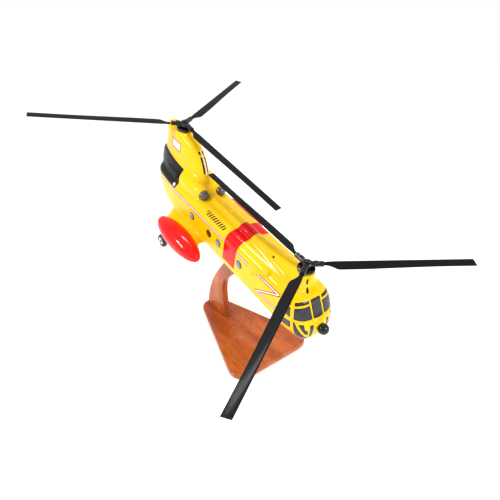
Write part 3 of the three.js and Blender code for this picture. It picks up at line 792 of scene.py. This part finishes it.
def carved_skin():
    """Hull, pylons, spine, nacelles and stubs as one carved body, with a soft fillet where they meet."""
    one, two = nacelle(), stub()
    # Each part with the reach of its fillet in millimetres.
    parts = [
        (hull(), 9.0),
        (pylon(FORWARD_PYLON, 2.6), 7.0),
        (forward_ramp(), 5.0),
        (pylon(AFT_PYLON, 2.3), 7.0),
        (ellipsoid(*TAIL_HUMP), 5.0),
        (spine(), 3.4),
        (one, 7.0),
        (one.mirrored(), 7.0),
        (two, 8.0),
        (two.mirrored(), 8.0),
        (radome_ring(), 2.4),
    ]
    whole = parts[0][0]
    for part, _ in parts[1:]:
        whole = whole + part
    block = temporary(whole)
    remesh = block.modifiers.new("remesh", "REMESH")
    remesh.mode = "VOXEL"
    remesh.voxel_size = VOXEL
    skin = solid_from(evaluated(block))

    count = len(skin.points)
    far = np.full((len(parts), count), FAR)
    nearest = skin.points.copy()
    best = np.full(count, FAR)
    for k, (part, reach) in enumerate(parts):
        tree = BVHTree.FromPolygons(part.points.tolist(), part.faces)
        for i, point in enumerate(skin.points):
            spot, _, _, distance = tree.find_nearest(point, reach)
            if spot is not None:
                far[k, i] = distance
                if distance < best[i]:
                    best[i] = distance
                    nearest[i] = spot
    # weight is 1 in the middle of a fillet; elsewhere a point goes back onto the part it came from.
    weight = np.zeros(count)
    for j in range(len(parts)):
        for k in range(j):
            reach = min(parts[j][1], parts[k][1])
            weight = np.maximum(weight, near(1.15 - np.maximum(far[j], far[k]) / reach))
    points = skin.points + (nearest - skin.points) * (1 - weight)[:, None] * (best < 1.5)[:, None]

    # Each point moves towards its neighbours, the more so the nearer it is to the middle of a fillet.
    edges = set()
    for face in skin.faces:
        for a, b in zip(face, face[1:] + face[:1]):
            edges.add((min(a, b), max(a, b)))
    edges = np.array(sorted(edges))
    ends = np.r_[edges[:, 0], edges[:, 1]]
    others = np.r_[edges[:, 1], edges[:, 0]]
    share = np.bincount(ends, minlength=count)[:, None]
    pull = np.maximum(weight, 0.06)[:, None]
    for _ in range(SMOOTHING_PASSES):
        total = np.stack([np.bincount(ends, points[others, axis], count) for axis in range(3)], axis=1)
        points = points + 0.5 * pull * (total / share - points)
        pull = np.where(pull > 0.07, pull, pull * 0.8)
    return Solid(points, skin.faces)


class Surface:
    """Where a line meets the carved skin, and the skin's direction there."""

    def __init__(self, solid):
        mesh = solid.mesh("surface")
        self.tree = BVHTree.FromPolygons(solid.points.tolist(), solid.faces)
        normals = np.empty(len(mesh.vertices) * 3)
        mesh.vertices.foreach_get("normal", normals)
        self.normals = normals.reshape(-1, 3)
        self.faces = solid.faces
        bpy.data.meshes.remove(mesh)

    def meet(self, start, direction):
        spot, flat, face, _ = self.tree.ray_cast(Vector(start), Vector(direction))
        if spot is None:
            spot, flat, face, _ = self.tree.find_nearest(Vector(start) + Vector(direction) * 60)
        normal = Vector(self.normals[list(self.faces[face])].mean(0)).normalized()
        return np.array(spot), np.array(normal if normal.dot(flat) > 0.5 else flat)


# Ways to draw on the skin: a point of a flat outline gives where its ray starts and how it runs.
def from_ahead(a, b):
    return (100, a, b), (-1, 0, 0)


QUARTER = math.radians(40)


def from_quarter(a, b):
    """From ahead and to starboard; a runs across that view, b up."""
    ahead, aside = math.cos(QUARTER), math.sin(QUARTER)
    return (a * aside + 100 * ahead, a * ahead - 100 * aside, b), (-ahead, aside, 0)


def from_starboard(a, b):
    return (a, -80, b), (0, 1, 0)


def from_above(a, b):
    return (a, b, 160), (0, 0, -1)


def evenly(path, spacing, least, closed=False):
    """Even points along a flat path, about spacing apart and no fewer than least."""
    steps = np.r_[0, np.cumsum(np.linalg.norm(np.diff(path, axis=0), axis=1))]
    even = np.linspace(0, steps[-1], max(least, int(steps[-1] / spacing)), endpoint=not closed)
    return np.stack([np.interp(even, steps, path[:, axis]) for axis in (0, 1)], axis=1)


def rounded(corners, radius, share, samples):
    """A closed path round corners, each cut off at radius or at a share of its shorter side."""
    path = []
    for i, corner in enumerate(corners):
        before = corners[i - 1] - corner
        after = corners[(i + 1) % len(corners)] - corner
        reach = min(radius, np.linalg.norm(before) * share, np.linalg.norm(after) * share)
        start = corner + before / np.linalg.norm(before) * reach
        end = corner + after / np.linalg.norm(after) * reach
        for t in np.linspace(0, 1, samples):
            path.append((1 - t) ** 2 * start + 2 * t * (1 - t) * corner + t * t * end)
    return np.array(path)


def round_outline(corners, radius):
    """A closed outline through rounded corners, as evenly spaced points."""
    path = rounded(np.array(corners, float), radius, 0.45, 6)
    return evenly(np.vstack([path, path[:1]]), 0.9, 24, closed=True)


def ellipse(middle, halves, count):
    angle = np.linspace(0, 2 * np.pi, count, endpoint=False)
    return stack(middle[0] + halves[0] * np.cos(angle), middle[1] + halves[1] * np.sin(angle))


def shrunk(outline, inset):
    """An outline moved inwards by inset."""
    ahead = np.roll(outline, -1, axis=0) - outline
    ahead = ahead / np.linalg.norm(ahead, axis=1)[:, None]
    out = np.stack([ahead[:, 1], -ahead[:, 0]], axis=1)
    mean = out + np.roll(out, 1, axis=0)
    mean = mean / np.maximum(np.linalg.norm(mean, axis=1), 0.6)[:, None]
    area = np.sum(outline[:, 0] * np.roll(outline[:, 1], -1) - np.roll(outline[:, 0], -1) * outline[:, 1])
    return outline - mean * inset * math.copysign(1, area)


def edge_distance(points, outline):
    """How far each point is from the outline, less than nothing outside it."""
    nearest = np.full(len(points), 1e9)
    inside = np.zeros(len(points), bool)
    for start, end in zip(outline, np.roll(outline, -1, axis=0)):
        along = end - start
        share = np.clip((points - start) @ along / (along @ along), 0, 1)
        nearest = np.minimum(nearest, np.linalg.norm(points - start - share[:, None] * along, axis=1))
        crosses = (start[1] > points[:, 1]) != (end[1] > points[:, 1])
        rise = along[1] if along[1] else 1e-9
        inside ^= crosses & (points[:, 0] < along[0] * (points[:, 1] - start[1]) / rise + start[0])
    return np.where(inside, nearest, -nearest)


# A spacing so wide that filled adds no inner points.
NO_GRID = 1e3


def filled(outline, spacing):
    """Points over a flat outline, the outline's own first, and the triangles between them."""
    low, high = outline.min(0), outline.max(0)
    across, up = (np.arange(low[axis], high[axis], spacing) for axis in (0, 1))
    grid = np.array([(a, b) for a in across for b in up])
    if len(grid):
        grid = grid[edge_distance(grid, outline) > spacing * 0.55]
    points = np.vstack([outline, grid]) if len(grid) else outline
    flat = [Vector(point) for point in points]
    result = delaunay_2d_cdt(flat, [], [list(range(len(outline)))], 1, 1e-5)
    return np.array([tuple(point) for point in result[0]]), [tuple(face) for face in result[2]]


def inlay(surface, aim, outline, rise, dome=0.0):
    """A pane on the skin: its edge is sunk, its face stands proud by rise and swells by dome."""
    top, triangles = filled(shrunk(outline, 0.34), 1.0)
    _, floor = filled(outline, NO_GRID)
    depth = edge_distance(top, outline)
    swell = 1 - (1 - np.clip(depth / depth.max(), 0, 1)) ** 2
    rim = [(outline, -0.7), (outline, rise - 0.26), (shrunk(outline, 0.13), rise - 0.08)]
    points = []
    for flat, heights in rim + [(top, rise + dome * swell)]:
        for (a, b), height in zip(flat, np.broadcast_to(heights, len(flat))):
            spot, normal = surface.meet(*aim(a, b))
            points.append(spot + normal * height)
    before_top = len(rim) * len(outline)
    insets = [0.0] * before_top + list(np.clip(depth, 0.2, None))
    faces = bands(len(rim) + 1, len(outline))
    faces += [tuple(i + before_top for i in face) for face in triangles]
    faces += [face[::-1] for face in floor]
    return Solid(points, faces), insets


# A window bar's section, across and up, as shares of its width and height.
BAR_SECTION = [
    (-0.5, -0.5), (-0.5, 0.15), (-0.42, 0.6), (-0.2, 0.95),
    (0.2, 0.95), (0.42, 0.6), (0.5, 0.15), (0.5, -0.5),
]
BAR_HEIGHT = 0.55
BAR_END = 0.55


def strip(surface, aim, path, width):
    """A raised bar laid along the skin, half-round on top and sunk at its foot."""
    met = [surface.meet(*aim(a, b)) for a, b in evenly(np.array(path, float), 1.2, 6)]
    rings = []
    for i, (spot, normal) in enumerate(met):
        ahead = met[min(i + 1, len(met) - 1)][0] - met[max(i - 1, 0)][0]
        across = np.cross(normal, ahead)
        across = across / np.linalg.norm(across)
        scale = BAR_END if i in (0, len(met) - 1) else 1.0
        wide, tall = across * width * scale, normal * BAR_HEIGHT * scale
        rings.append([spot + wide * a + tall * b for a, b in BAR_SECTION])
    return loft(rings)


def build_skin():
    solid = carved_skin()
    bore = [(0, -6), (PEG_R + 0.2, -6), (PEG_R + 0.2, 21.5), (0, 21.5)]
    skin = combined(solid, "DIFFERENCE", lathe(bore, 32, Matrix.Translation((PEG_X, 0, 0))))
    both = ["engine_nacelle", "sponson_stub"]
    replaced = ["fuselage", "forward_pylon", "aft_pylon", "drive_shaft_cover", "radome_ring"]
    replaced += [f"{name}_{side}" for name in both for side in "RL"]
    piece("carved_airframe_skin", skin, "yellow_lacquer", "airframe", replaced, sharp=50)
    return Surface(solid)


# Panes on the starboard half of the nose: the view that the outline is drawn in, and its corners.
PANES = {
    "windscreen": (from_quarter, [
        [-7.4, 44.5], [-2.9, 45.8], [0.9, 46.2], [9.9, 46.5],
        [15.8, 32.7], [5.8, 32.4], [-2.4, 32.9], [-6.0, 32.3],
    ]),
    "eyebrow_window": (from_quarter, [
        [-7.5, 49.9], [0.1, 51.3], [7.7, 51.6], [9.0, 48.7], [-0.4, 48.4], [-7.5, 46.8],
    ]),
    "chin_crescent": (from_quarter, [
        [-6.1, 29.0], [-4.9, 24.1], [-3.6, 18.5], [-1.0, 12.2], [2.6, 7.8], [8.4, 4.9],
        [14.5, 4.5], [16.4, 6.2], [13.0, 9.4], [9.7, 12.1], [7.0, 14.9], [4.1, 17.9],
        [1.9, 20.4], [-0.5, 23.4], [-2.4, 26.3], [-4.1, 29.4],
    ]),
    "chin_step": (from_quarter, [
        [0.2, 28.2], [6.7, 28.5], [9.4, 21.5], [12.8, 21.1], [14.2, 13.2], [10.0, 15.7], [4.2, 22.9],
    ]),
    "chin_window": (from_ahead, [[-14.6, 27.2], [-10.1, 27.8], [-10.0, 9.6], [-13.7, 9.4]]),
    "cockpit_side_window": (from_starboard, [[16.2, 43.2], [1.0, 43.3], [1.0, 30.0], [19.8, 31.2]]),
    "upper_side_window": (from_starboard, [[12.4, 49.3], [1.5, 48.9], [1.5, 45.9], [14.9, 46.0]]),
    "lower_side_window": (from_starboard, [[21.6, 26.4], [6.0, 21.6], [8.0, 12.8], [23.8, 17.0]]),
}
CENTRE_PANE = [[-7.0, 51.8], [7.0, 51.8], [7.3, 32.6], [-7.3, 32.6]]
# The panes that the CAD has too.
PANE_NODES = ("windscreen", "eyebrow_window", "cockpit_side_window")
PANE_CORNER = 0.8
PANE_RISE = 0.3


def build_panes(surface):
    solid, inset = inlay(surface, from_ahead, round_outline(CENTRE_PANE, PANE_CORNER), PANE_RISE)
    piece("centre_pane", solid, "window_grey", "airframe", ["windscreen_center"], inset=inset)
    for name, (aim, corners) in PANES.items():
        solid, inset = inlay(surface, aim, round_outline(corners, PANE_CORNER), PANE_RISE)
        node = name if name in PANE_NODES else None
        pair(f"{name}_pane", solid, "window_grey", node, inset=inset)


# Window bars: the view they are drawn in, their path along the skin, and their width.
BARS = {
    "centre_post": (from_ahead, [(-8.3, 52.2), (-8.4, 31.4)], 1.7),
    "brow_bar": (from_quarter, [(-8.2, 45.5), (-3.8, 46.7), (0.0, 47.3), (4.5, 47.5), (9.9, 47.6)], 1.25),
    "sill": (from_quarter, [
        (-8.4, 30.4), (-1.0, 31.0), (5.3, 30.8), (10.9, 31.0), (17.6, 31.2), (24.0, 31.3),
    ], 1.3),
    "corner_post": (from_quarter, [
        (-9.3, 49.8), (-9.5, 47.3), (-9.5, 44.8), (-9.3, 41.4), (-8.8, 37.5),
        (-8.3, 33.0), (-7.6, 28.4), (-6.4, 21.3), (-4.9, 15.4), (-2.6, 10.0),
    ], 2.1),
    "chin_bar": (from_quarter, [
        (-5.8, 30.6), (-2.3, 28.6), (1.2, 24.0), (4.6, 19.9),
        (8.3, 16.0), (11.8, 12.5), (15.2, 9.4), (19.5, 6.6),
    ], 1.15),
    "side_bar": (from_starboard, [(15.6, 44.8), (0.5, 44.6)], 1.1),
    "side_sill": (from_starboard, [(22.2, 28.7), (16.0, 27.7), (10.9, 26.4), (0.5, 24.4)], 1.3),
}


def build_bars(surface):
    for name, (aim, path, width) in BARS.items():
        pair(name, strip(surface, aim, path, width), "yellow_lacquer", sharp=60)


def build_portholes(surface):
    for number, (x, domed) in enumerate(PORTHOLES, 1):
        outline = ellipse((x, PORTHOLE_Z), (PORTHOLE_R, PORTHOLE_R), 40)
        slot = "porthole_grey" if domed else "porthole_brown"
        solid, inset = inlay(surface, from_starboard, outline, 0.4, 2.4 if domed else 0.4)
        pair(f"porthole_{number}_lens", solid, slot, f"porthole_{number}", inset=inset)


def build_small_parts(surface):
    spot, _ = surface.meet(*from_above(-43.3, -8.6))
    solid = ellipsoid(spot, (1.6, 1.6, 1.6), 32)
    piece("roof_filler_cap", solid, "black_gloss", "airframe")
    for number, (x, half) in enumerate(((-160.5, 2.4), (-141.5, 3.2), (-108.0, 3.4)), 1):
        outline = ellipse((x, 0.0), (half * 1.5, half * 0.72), 32)
        solid, _ = inlay(surface, from_above, outline, 0.15, 1.1)
        piece(f"roof_blister_{number}", solid, "yellow_lacquer", "airframe")
    lamp, _ = inlay(surface, from_starboard, ellipse((-246.9, 50.0), (2.6, 2.6), 32), 0.3, 1.2)
    pair("tail_lamp", lamp, "steel", material=LAMP_WHITE)


def build_engines():
    (x, y, z), radius = INTAKE
    pair("intake_dome", ellipsoid((x, y, z), (radius, radius, radius), 56), "intake_olive", "engine_intake")
    edge = [(0, -1.2), (radius + 0.5, -1.2), (radius + 0.9, 0), (radius + 0.5, 1.2), (0, 1.2)]
    lip = lathe(edge, 56, Matrix.Translation((x - 3.0, y, z)) @ turned("Y", 90))
    pair("intake_lip", lip, "yellow_lacquer", sharp=60)
    outer, inner, half = EXHAUST["outer"], EXHAUST["inner"], EXHAUST["half"]
    profile = [
        (0, half), (outer, half), (outer, -half + 0.6), (outer + 0.25, -half), (outer - 0.2, -half - 0.25),
        (inner + 0.2, -half - 0.25), (inner, -half + 0.4), (inner, half - 1.5), (0, half - 1.5),
    ]
    place = Matrix.Translation(EXHAUST["at"]) @ Matrix.Rotation(EXHAUST["yaw"], 4, "Z") @ turned("Y", 90)
    pair("exhaust_stack", lathe(profile, 48, place), "black_gloss", "exhaust_pipe")


def build_pods():
    middle, halves = POD
    pair("float_pod", ellipsoid(middle, halves, 96), "red_lacquer", "sponson_pod")


def build_nose():
    middle, radius = RADOME
    ball = ellipsoid(middle, (radius, radius, radius), 64)
    piece("radome_ball", ball, "black_gloss", "airframe", ["nose_radome"])


def build_hoist():
    start, end = HOIST
    housing = ellipsoid(start, (5.6, 4.6, 4.6), 48)
    piece("hoist_body", housing, "yellow_lacquer", "airframe", ["hoist_housing"])
    along = [Vector(start).lerp(Vector(end), t) for t in np.linspace(0.05, 1, 14)]
    radii = [2.2 - 0.7 * near(t) for t in np.linspace(0, 1, 14)]
    bar = tube(along, radii)
    drum = ellipsoid(end, (2.5, 2.3, 2.3), 32)
    piece("hoist_boom", combined(bar, "UNION", drum), "yellow_lacquer", "airframe", ["hoist_arm"])
    hook = tube([Vector(end) + Vector((0, 0, -d)) for d in (1.5, 2.5, 3.5, 4.2)], [0.9, 0.9, 0.8, 0.5], 16)
    piece("hoist_hook", hook, "steel", "airframe")


# ---- Wheels -------------------------------------------------------------------------------------

def wheel_solids(wheel, y):
    """Tyre with a crowned tread and a hub with a dished face, both about the axle."""
    r, half = wheel["r"], wheel["half"]
    place = Matrix.Translation((wheel["x"], y, wheel["z"])) @ turned("X", 90)
    rim = r * 0.56
    # The near half of each profile: radius, and the distance from the middle as a share of half.
    tyre = [(1.4, 0.72), (rim, 0.72), (rim + 0.5, 1), (r - 1.6, 1), (r - 0.5, 0.72), (r, 0.3)]
    hub = [(1.45, 0.9), (2.6, 0.95), (3.0, 0.8), (rim - 0.8, 0.8), (rim - 0.1, 0.95)]
    return [ring_solid(profile, half, 56).moved(place) for profile in (tyre, hub)]


def ring_solid(profile, half, sides):
    """A ring about z, alike above and below, whose section stays off the axis."""
    section = [(r, -share * half) for r, share in profile]
    section += [(r, share * half) for r, share in reversed(profile)]
    points = np.vstack([stack(*circle(r, sides), z) for r, z in section])
    faces = [tuple(i % len(points) for i in face) for face in bands(len(section) + 1, sides)]
    return Solid(points, faces)


def build_wheels():
    for side, sign, body in (("R", -1, "main_wheel_right"), ("L", 1, "main_wheel_left")):
        tyre, hub = wheel_solids(MAIN_WHEEL, sign * MAIN_WHEEL["y"])
        piece(f"main_tyre_{side}", tyre, "wheel_black", body, [f"main_wheel_{side}"])
        piece(f"main_hub_{side}", hub, "steel", body)
    tyre, hub = wheel_solids(NOSE_WHEEL, 0)
    piece("nose_tyre", tyre, "wheel_black", "nose_wheel_body", ["nose_wheel"])
    piece("nose_hub", hub, "steel", "nose_wheel_body")


# ---- Rotors -------------------------------------------------------------------------------------

def section(leading, trailing, thick, count=14):
    """Blade section with a round nose and a thin tail, as points of y and z."""
    share = np.r_[np.arange(count) / count, 1 - np.arange(count) / count]
    side = np.r_[np.ones(count), -np.ones(count)]
    chord = (1 - np.cos(np.pi * share)) / 2
    height = thick * (1.48 * np.sqrt(chord) - 1.48 * chord + 0.18 * chord * (1 - chord))
    edge = np.where(chord > 0, 0.14 * (1 - chord) + 0.1, 0)
    return leading - (leading + trailing) * chord, side * (height / 2 + edge)


# Blade stations: distance out, leading and trailing edge, thickness.
BLADE = [
    [BLADE_ROOT, 2.4, 2.4, 3.4],
    [23.5, 2.7, 3.0, 2.8],
    [28.5, 3.0, 5.4, 2.3],
    [33, LEADING, 8.2, 2.0],
    [37, LEADING, TRAILING + 1.9, 2.0],
    [60, LEADING, TRAILING + 1.9, 2.0],
    [110, LEADING, TRAILING + 0.8, 1.9],
    [157, LEADING, TRAILING, 1.8],
    [BLADE_TIP - 3.0, LEADING, TRAILING, 1.6],
    [BLADE_TIP - 1.2, LEADING - 0.25, TRAILING, 1.3],
]


def blade():
    """One blade along x, and how near each of its points is to an edge."""
    rings, edges = [], []
    for out, leading, trailing, thick in smooth_rows(BLADE, 5):
        a, b = section(leading, trailing, thick)
        end = near((out - BLADE_TIP + 7) / 6)
        slant = end * 1.2 * (LEADING - a) / (LEADING + TRAILING)
        rings.append(stack(out + slant, a, b))
        span = (a - a.min()) / (a.max() - a.min())
        edges.append(np.maximum(np.abs(2 * span - 1) ** 8, near((out - BLADE_TIP + 5) / 4)))
    return loft(rings), np.r_[np.concatenate(edges), 0.0, 1.0]


def hub():
    """Hub block with three grooved blade sleeves, each with a flat pad on top."""
    core = lathe([
        (0, -HUB_HALF), (HUB_R - 0.5, -HUB_HALF), (HUB_R, -HUB_HALF + 0.5),
        (HUB_R, HUB_HALF - 0.6), (HUB_R - 0.6, HUB_HALF), (0, HUB_HALF),
    ], 48)
    groove = SLEEVE_R - 0.35
    sleeve = lathe([
        (0, 2), (SLEEVE_R, 2), (SLEEVE_R, 13.4), (groove, 13.7), (groove, 14.4), (SLEEVE_R, 14.7),
        (SLEEVE_R, SLEEVE_END - 0.5), (SLEEVE_R - 0.5, SLEEVE_END), (0, SLEEVE_END),
    ], 36, turned("Y", 90))
    foot = round_outline([[6.4, -2.1], [12.6, -2.1], [12.6, 2.1], [6.4, 2.1]], 0.8)
    top = round_outline([[6.7, -1.8], [12.3, -1.8], [12.3, 1.8], [6.7, 1.8]], 0.6)
    pad = loft([stack(*foot.T, 1.5), stack(*foot.T, 3.35), stack(*top.T, 3.6)])
    spokes = []
    for angle in (0, 120, 240):
        spokes += [sleeve.moved(turned("Z", angle)), pad.moved(turned("Z", angle))]
    return combined(core, "UNION", *spokes)


def boot(bottom):
    top = -HUB_HALF - 0.9
    profile = [
        (0, bottom), (BOOT_R * 0.72, bottom), (BOOT_R * 0.93, bottom + 1.2), (BOOT_R, bottom + 2.2),
        (BOOT_R, top - 0.9), (BOOT_R * 0.95, top - 0.2), (BOOT_R * 0.88, top), (0, top),
    ]
    return lathe(profile, 64)


def pin_head():
    """The headed pin that the hub turns on; the head sits on the hub block."""
    head = [(1.5, 0.3), (3.3, 0.3), (3.35, 0.8), (3.0, 1.7), (2.2, 2.4), (1.0, 2.8), (0, 2.9)]
    return lathe([(0, -26), (1.5, -26)] + [(r, HUB_HALF + rise) for r, rise in head], 36)


def build_rotors():
    blade_solid, edges = blade()
    hub_solid = hub()
    for name, rotor in ROTORS.items():
        seat = (
            AIRFRAME
            @ Matrix.Translation((rotor["x"], 0, rotor["z"]))
            @ turned("Y", rotor["tilt"])
            @ turned("X", rotor["roll"])
        )
        spinning = seat @ turned("Z", rotor["azimuth"])
        body = f"{name}_rotor"
        piece(f"{name}_hub_block", hub_solid, "black_gloss", body, [f"{name}_rotor_hub"], spinning)
        piece(f"{name}_hub_pin", pin_head(), "black_gloss", "airframe", [f"{name}_rotor_pin"], seat)
        piece(f"{name}_boot", boot(rotor["boot"]), "black_gloss", "airframe", [f"{name}_rotor_boot"], seat)
        for number in range(3):
            place = spinning @ turned("Z", 120 * number) @ turned("Y", -rotor["cone"])
            place = place @ turned("X", rotor["pitch"])
            which = f"blade_{number + 1}"
            replaced = [f"{name}_rotor_{which}"]
            piece(f"{name}_{which}", blade_solid, "blade_grey", body, replaced, place, 60, edge=edges)


# ---- Stand --------------------------------------------------------------------------------------

def base_outline(inset):
    """The board's outline moved inwards by inset: wide in front, narrow at the back."""
    slope = (BASE_FRONT_HALF - BASE_BACK_HALF) / (2 * BASE_FRONT)
    lean = math.hypot(1, slope)

    def half_at(x):
        return BASE_BACK_HALF + slope * (x + BASE_FRONT) - inset * lean

    front, back = BASE_FRONT - inset, -BASE_FRONT + inset
    ends = [(front, -1), (front, 1), (back, 1), (back, -1)]
    corners = np.array([(x, side * half_at(x)) for x, side in ends])
    return rounded(corners, BASE_CORNER, 0.48, 14)


def slab(steps):
    """A solid with the base's outline, from the inset and height of each of its levels."""
    return loft([np.insert(base_outline(inset), 2, z, axis=1) for inset, z in steps])


def build_base():
    """A board with a rounded upper edge and a softened foot, and the felt under it."""
    shoulder = BASE_TOP - BASE_EDGE
    steps = [(1.4, BASE_BOTTOM), (0.5, BASE_BOTTOM + 0.35), (0.0, BASE_BOTTOM + 1.2), (0.0, shoulder)]
    for angle in np.linspace(0, 90, 8)[1:]:
        turn = math.radians(angle)
        steps.append((BASE_EDGE * (1 - math.cos(turn)), shoulder + BASE_EDGE * math.sin(turn)))
    piece("base_board", slab(steps), "mahogany", "stand", ["stand_base"], STAND, 55)
    felt = slab([(5.3, 0), (5.0, 0.2), (5.0, 0.9), (5.2, 1.0)])
    piece("felt_pad", felt, "felt_green", "stand", ["base_felt"], STAND, 60)


def belly_point(x, below):
    """A point under the belly as the stand's (x, z)."""
    return [
        AIRFRAME_AT[0] * 1000 + x * math.cos(PITCH) - below * math.sin(PITCH),
        AIRFRAME_AT[2] * 1000 - x * math.sin(PITCH) - below * math.cos(PITCH),
    ]


def spline(points, count):
    """A curve through points, evenly sampled."""
    points = np.array(points, float)
    padded = np.vstack([2 * points[0] - points[1], points, 2 * points[-1] - points[-2]])
    out = []
    for i in range(1, len(padded) - 2):
        for t in np.linspace(0, 1, 12, endpoint=False):
            a, b, c, d = padded[i - 1 : i + 3]
            square = (2 * a - 5 * b + 4 * c - d) * t**2
            cube = (3 * b - a - 3 * c + d) * t**3
            out.append(0.5 * (2 * b + (c - a) * t + square + cube))
    return evenly(np.array(out + [points[-1]]), math.inf, count)


def strip_caps(rings, rows):
    """A closed solid over rings that each run up one side and back down the other, rows points a side."""
    count = len(rings[0])
    points = np.vstack(rings)
    faces = bands(len(rings), count)
    for start, flip in ((0, False), ((len(rings) - 1) * count, True)):
        for i in range(rows - 1):
            face = (start + i, start + count - 1 - i, start + count - 2 - i, start + i + 1)
            faces.append(face[::-1] if flip else face)
    return Solid(points, faces)


def build_arm():
    seat = 0.3
    rows = 60
    back = spline(ARM_BACK_EDGE + [belly_point(ARM_HEAD[0], seat)], rows)
    front = spline(ARM_FRONT_EDGE + [belly_point(ARM_HEAD[1], seat)], rows)
    outline = np.vstack([back, front[::-1]])
    edge = []
    for angle in np.linspace(0, 90, 6):
        turn = math.radians(angle)
        edge.append((ARM_EDGE * (1 - math.sin(turn)), ARM_HALF - ARM_EDGE * (1 - math.cos(turn))))
    # The port face is one step of the rounding short of ARM_HALF, which is less than 0.1 mm.
    levels = [(inset, -y) for inset, y in edge] + edge[:0:-1]
    rings = [np.insert(shrunk(outline, inset), 1, y, axis=1) for inset, y in levels]
    peg_at = belly_point(PEG_X, 0)
    place = Matrix.Translation((peg_at[0], 0, peg_at[1])) @ Matrix.Rotation(PITCH, 4, "Y")
    bore = PEG_R + 0.25
    hole = lathe([(0, -15.3), (bore, -15.3), (bore, 4), (0, 4)], 32, place)
    solid = combined(strip_caps(rings, rows), "DIFFERENCE", hole)
    piece("curved_arm", solid, "mahogany", "stand", ["stand_arm"], STAND, 50, material=UPRIGHT_GRAIN)
    peg = lathe([(0, -15), (PEG_R, -15), (PEG_R, 19.2), (PEG_R - 0.8, 20), (0, 20)], 32, place)
    piece("brass_peg", peg, "steel", "stand", ["mounting_peg"], STAND)


# ---- Carried-over CAD pieces --------------------------------------------------------------------

def finish_cad_nodes():
    """The CAD's own pieces that stay: landing gear legs and the hidden screws."""
    for name in ("main_gear_leg_R", "main_gear_leg_L", "nose_gear_leg", "arm_screw_1", "arm_screw_2"):
        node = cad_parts[name]
        node.data.materials.clear()
        node.data.materials.append(MATERIALS["steel"])


# ---- Floor, light and camera --------------------------------------------------------------------

FLOOR_HALF = 60.0


def build_floor():
    far = FLOOR_HALF
    corners = [(-far, -far, 0), (far, -far, 0), (far, far, 0), (-far, far, 0)]
    mesh = bpy.data.meshes.new("floor")
    mesh.from_pydata(corners, [], [(0, 1, 2, 3)])
    floor = bpy.data.objects.new("floor", mesh)
    bpy.context.scene.collection.objects.link(floor)
    paint = Paint("floor_white", 0.75, Specular_IOR_Level=0.1)
    paint.base((0.97, 0.97, 0.97))
    paint.shader.inputs["Emission Color"].default_value = (1, 1, 1, 1)
    paint.shader.inputs["Emission Strength"].default_value = 0.25
    mesh.materials.append(paint.material)


# Each light: azimuth, elevation, distance, size, watts.
LIGHTS = {
    "key": (-112, 34, 1.1, (0.26, 0.16), 5.5),
    "right_box": (14, 30, 1.2, (0.36, 0.36), 6.5),
    "top_box": (150, 72, 1.3, (0.40, 0.12), 5.0),
}


def area_light(name, azimuth, elevation, distance, size, power, target=(0.0, 0.0, 0.13)):
    light = bpy.data.lights.new(name, "AREA")
    light.shape = "RECTANGLE"
    light.size, light.size_y = size
    light.energy = power
    thing = bpy.data.objects.new(name, light)
    a, e = math.radians(azimuth), math.radians(elevation)
    away = Vector((math.cos(a) * math.cos(e), math.sin(a) * math.cos(e), math.sin(e)))
    thing.location = Vector(target) + away * distance
    thing.rotation_euler = away.to_track_quat("Z", "Y").to_euler()
    bpy.context.scene.collection.objects.link(thing)


def build_lights():
    for name, settings in LIGHTS.items():
        area_light(name, *settings)
    world = bpy.data.worlds.new("studio")
    world.use_nodes = True
    tree = world.node_tree
    background = tree.nodes["Background"]
    background.inputs["Color"].default_value = (1.0, 1.0, 1.0, 1)
    background.inputs["Strength"].default_value = 0.80
    bpy.context.scene.world = world


# The camera's place in metres, the way it looks away from and its right hand.
CAMERA_AT = (0.41184, -0.29594, 0.44403)
CAMERA_BACK = (0.6829, -0.5229, 0.5101)
CAMERA_RIGHT = (0.6085, 0.7936, -0.0012)
CAMERA_LENS = 31.295


def build_camera():
    camera = bpy.data.cameras.new("camera")
    camera.lens = CAMERA_LENS
    camera.sensor_width = 36
    camera.clip_start = 0.01
    thing = bpy.data.objects.new("camera", camera)
    back = Vector(CAMERA_BACK).normalized()
    right = Vector(CAMERA_RIGHT).normalized()
    up = back.cross(right).normalized()
    turn = Matrix((right, up, back)).transposed().to_4x4()
    thing.matrix_world = Matrix.Translation(CAMERA_AT) @ turn
    bpy.context.scene.collection.objects.link(thing)
    bpy.context.scene.camera = thing
    bpy.context.scene.view_settings.view_transform = "Standard"


build_camera()
build_floor()
build_lights()
surface = build_skin()
build_panes(surface)
build_bars(surface)
build_portholes(surface)
build_small_parts(surface)
build_engines()
build_pods()
build_nose()
build_hoist()
build_wheels()
build_rotors()
build_base()
build_arm()
finish_cad_nodes()
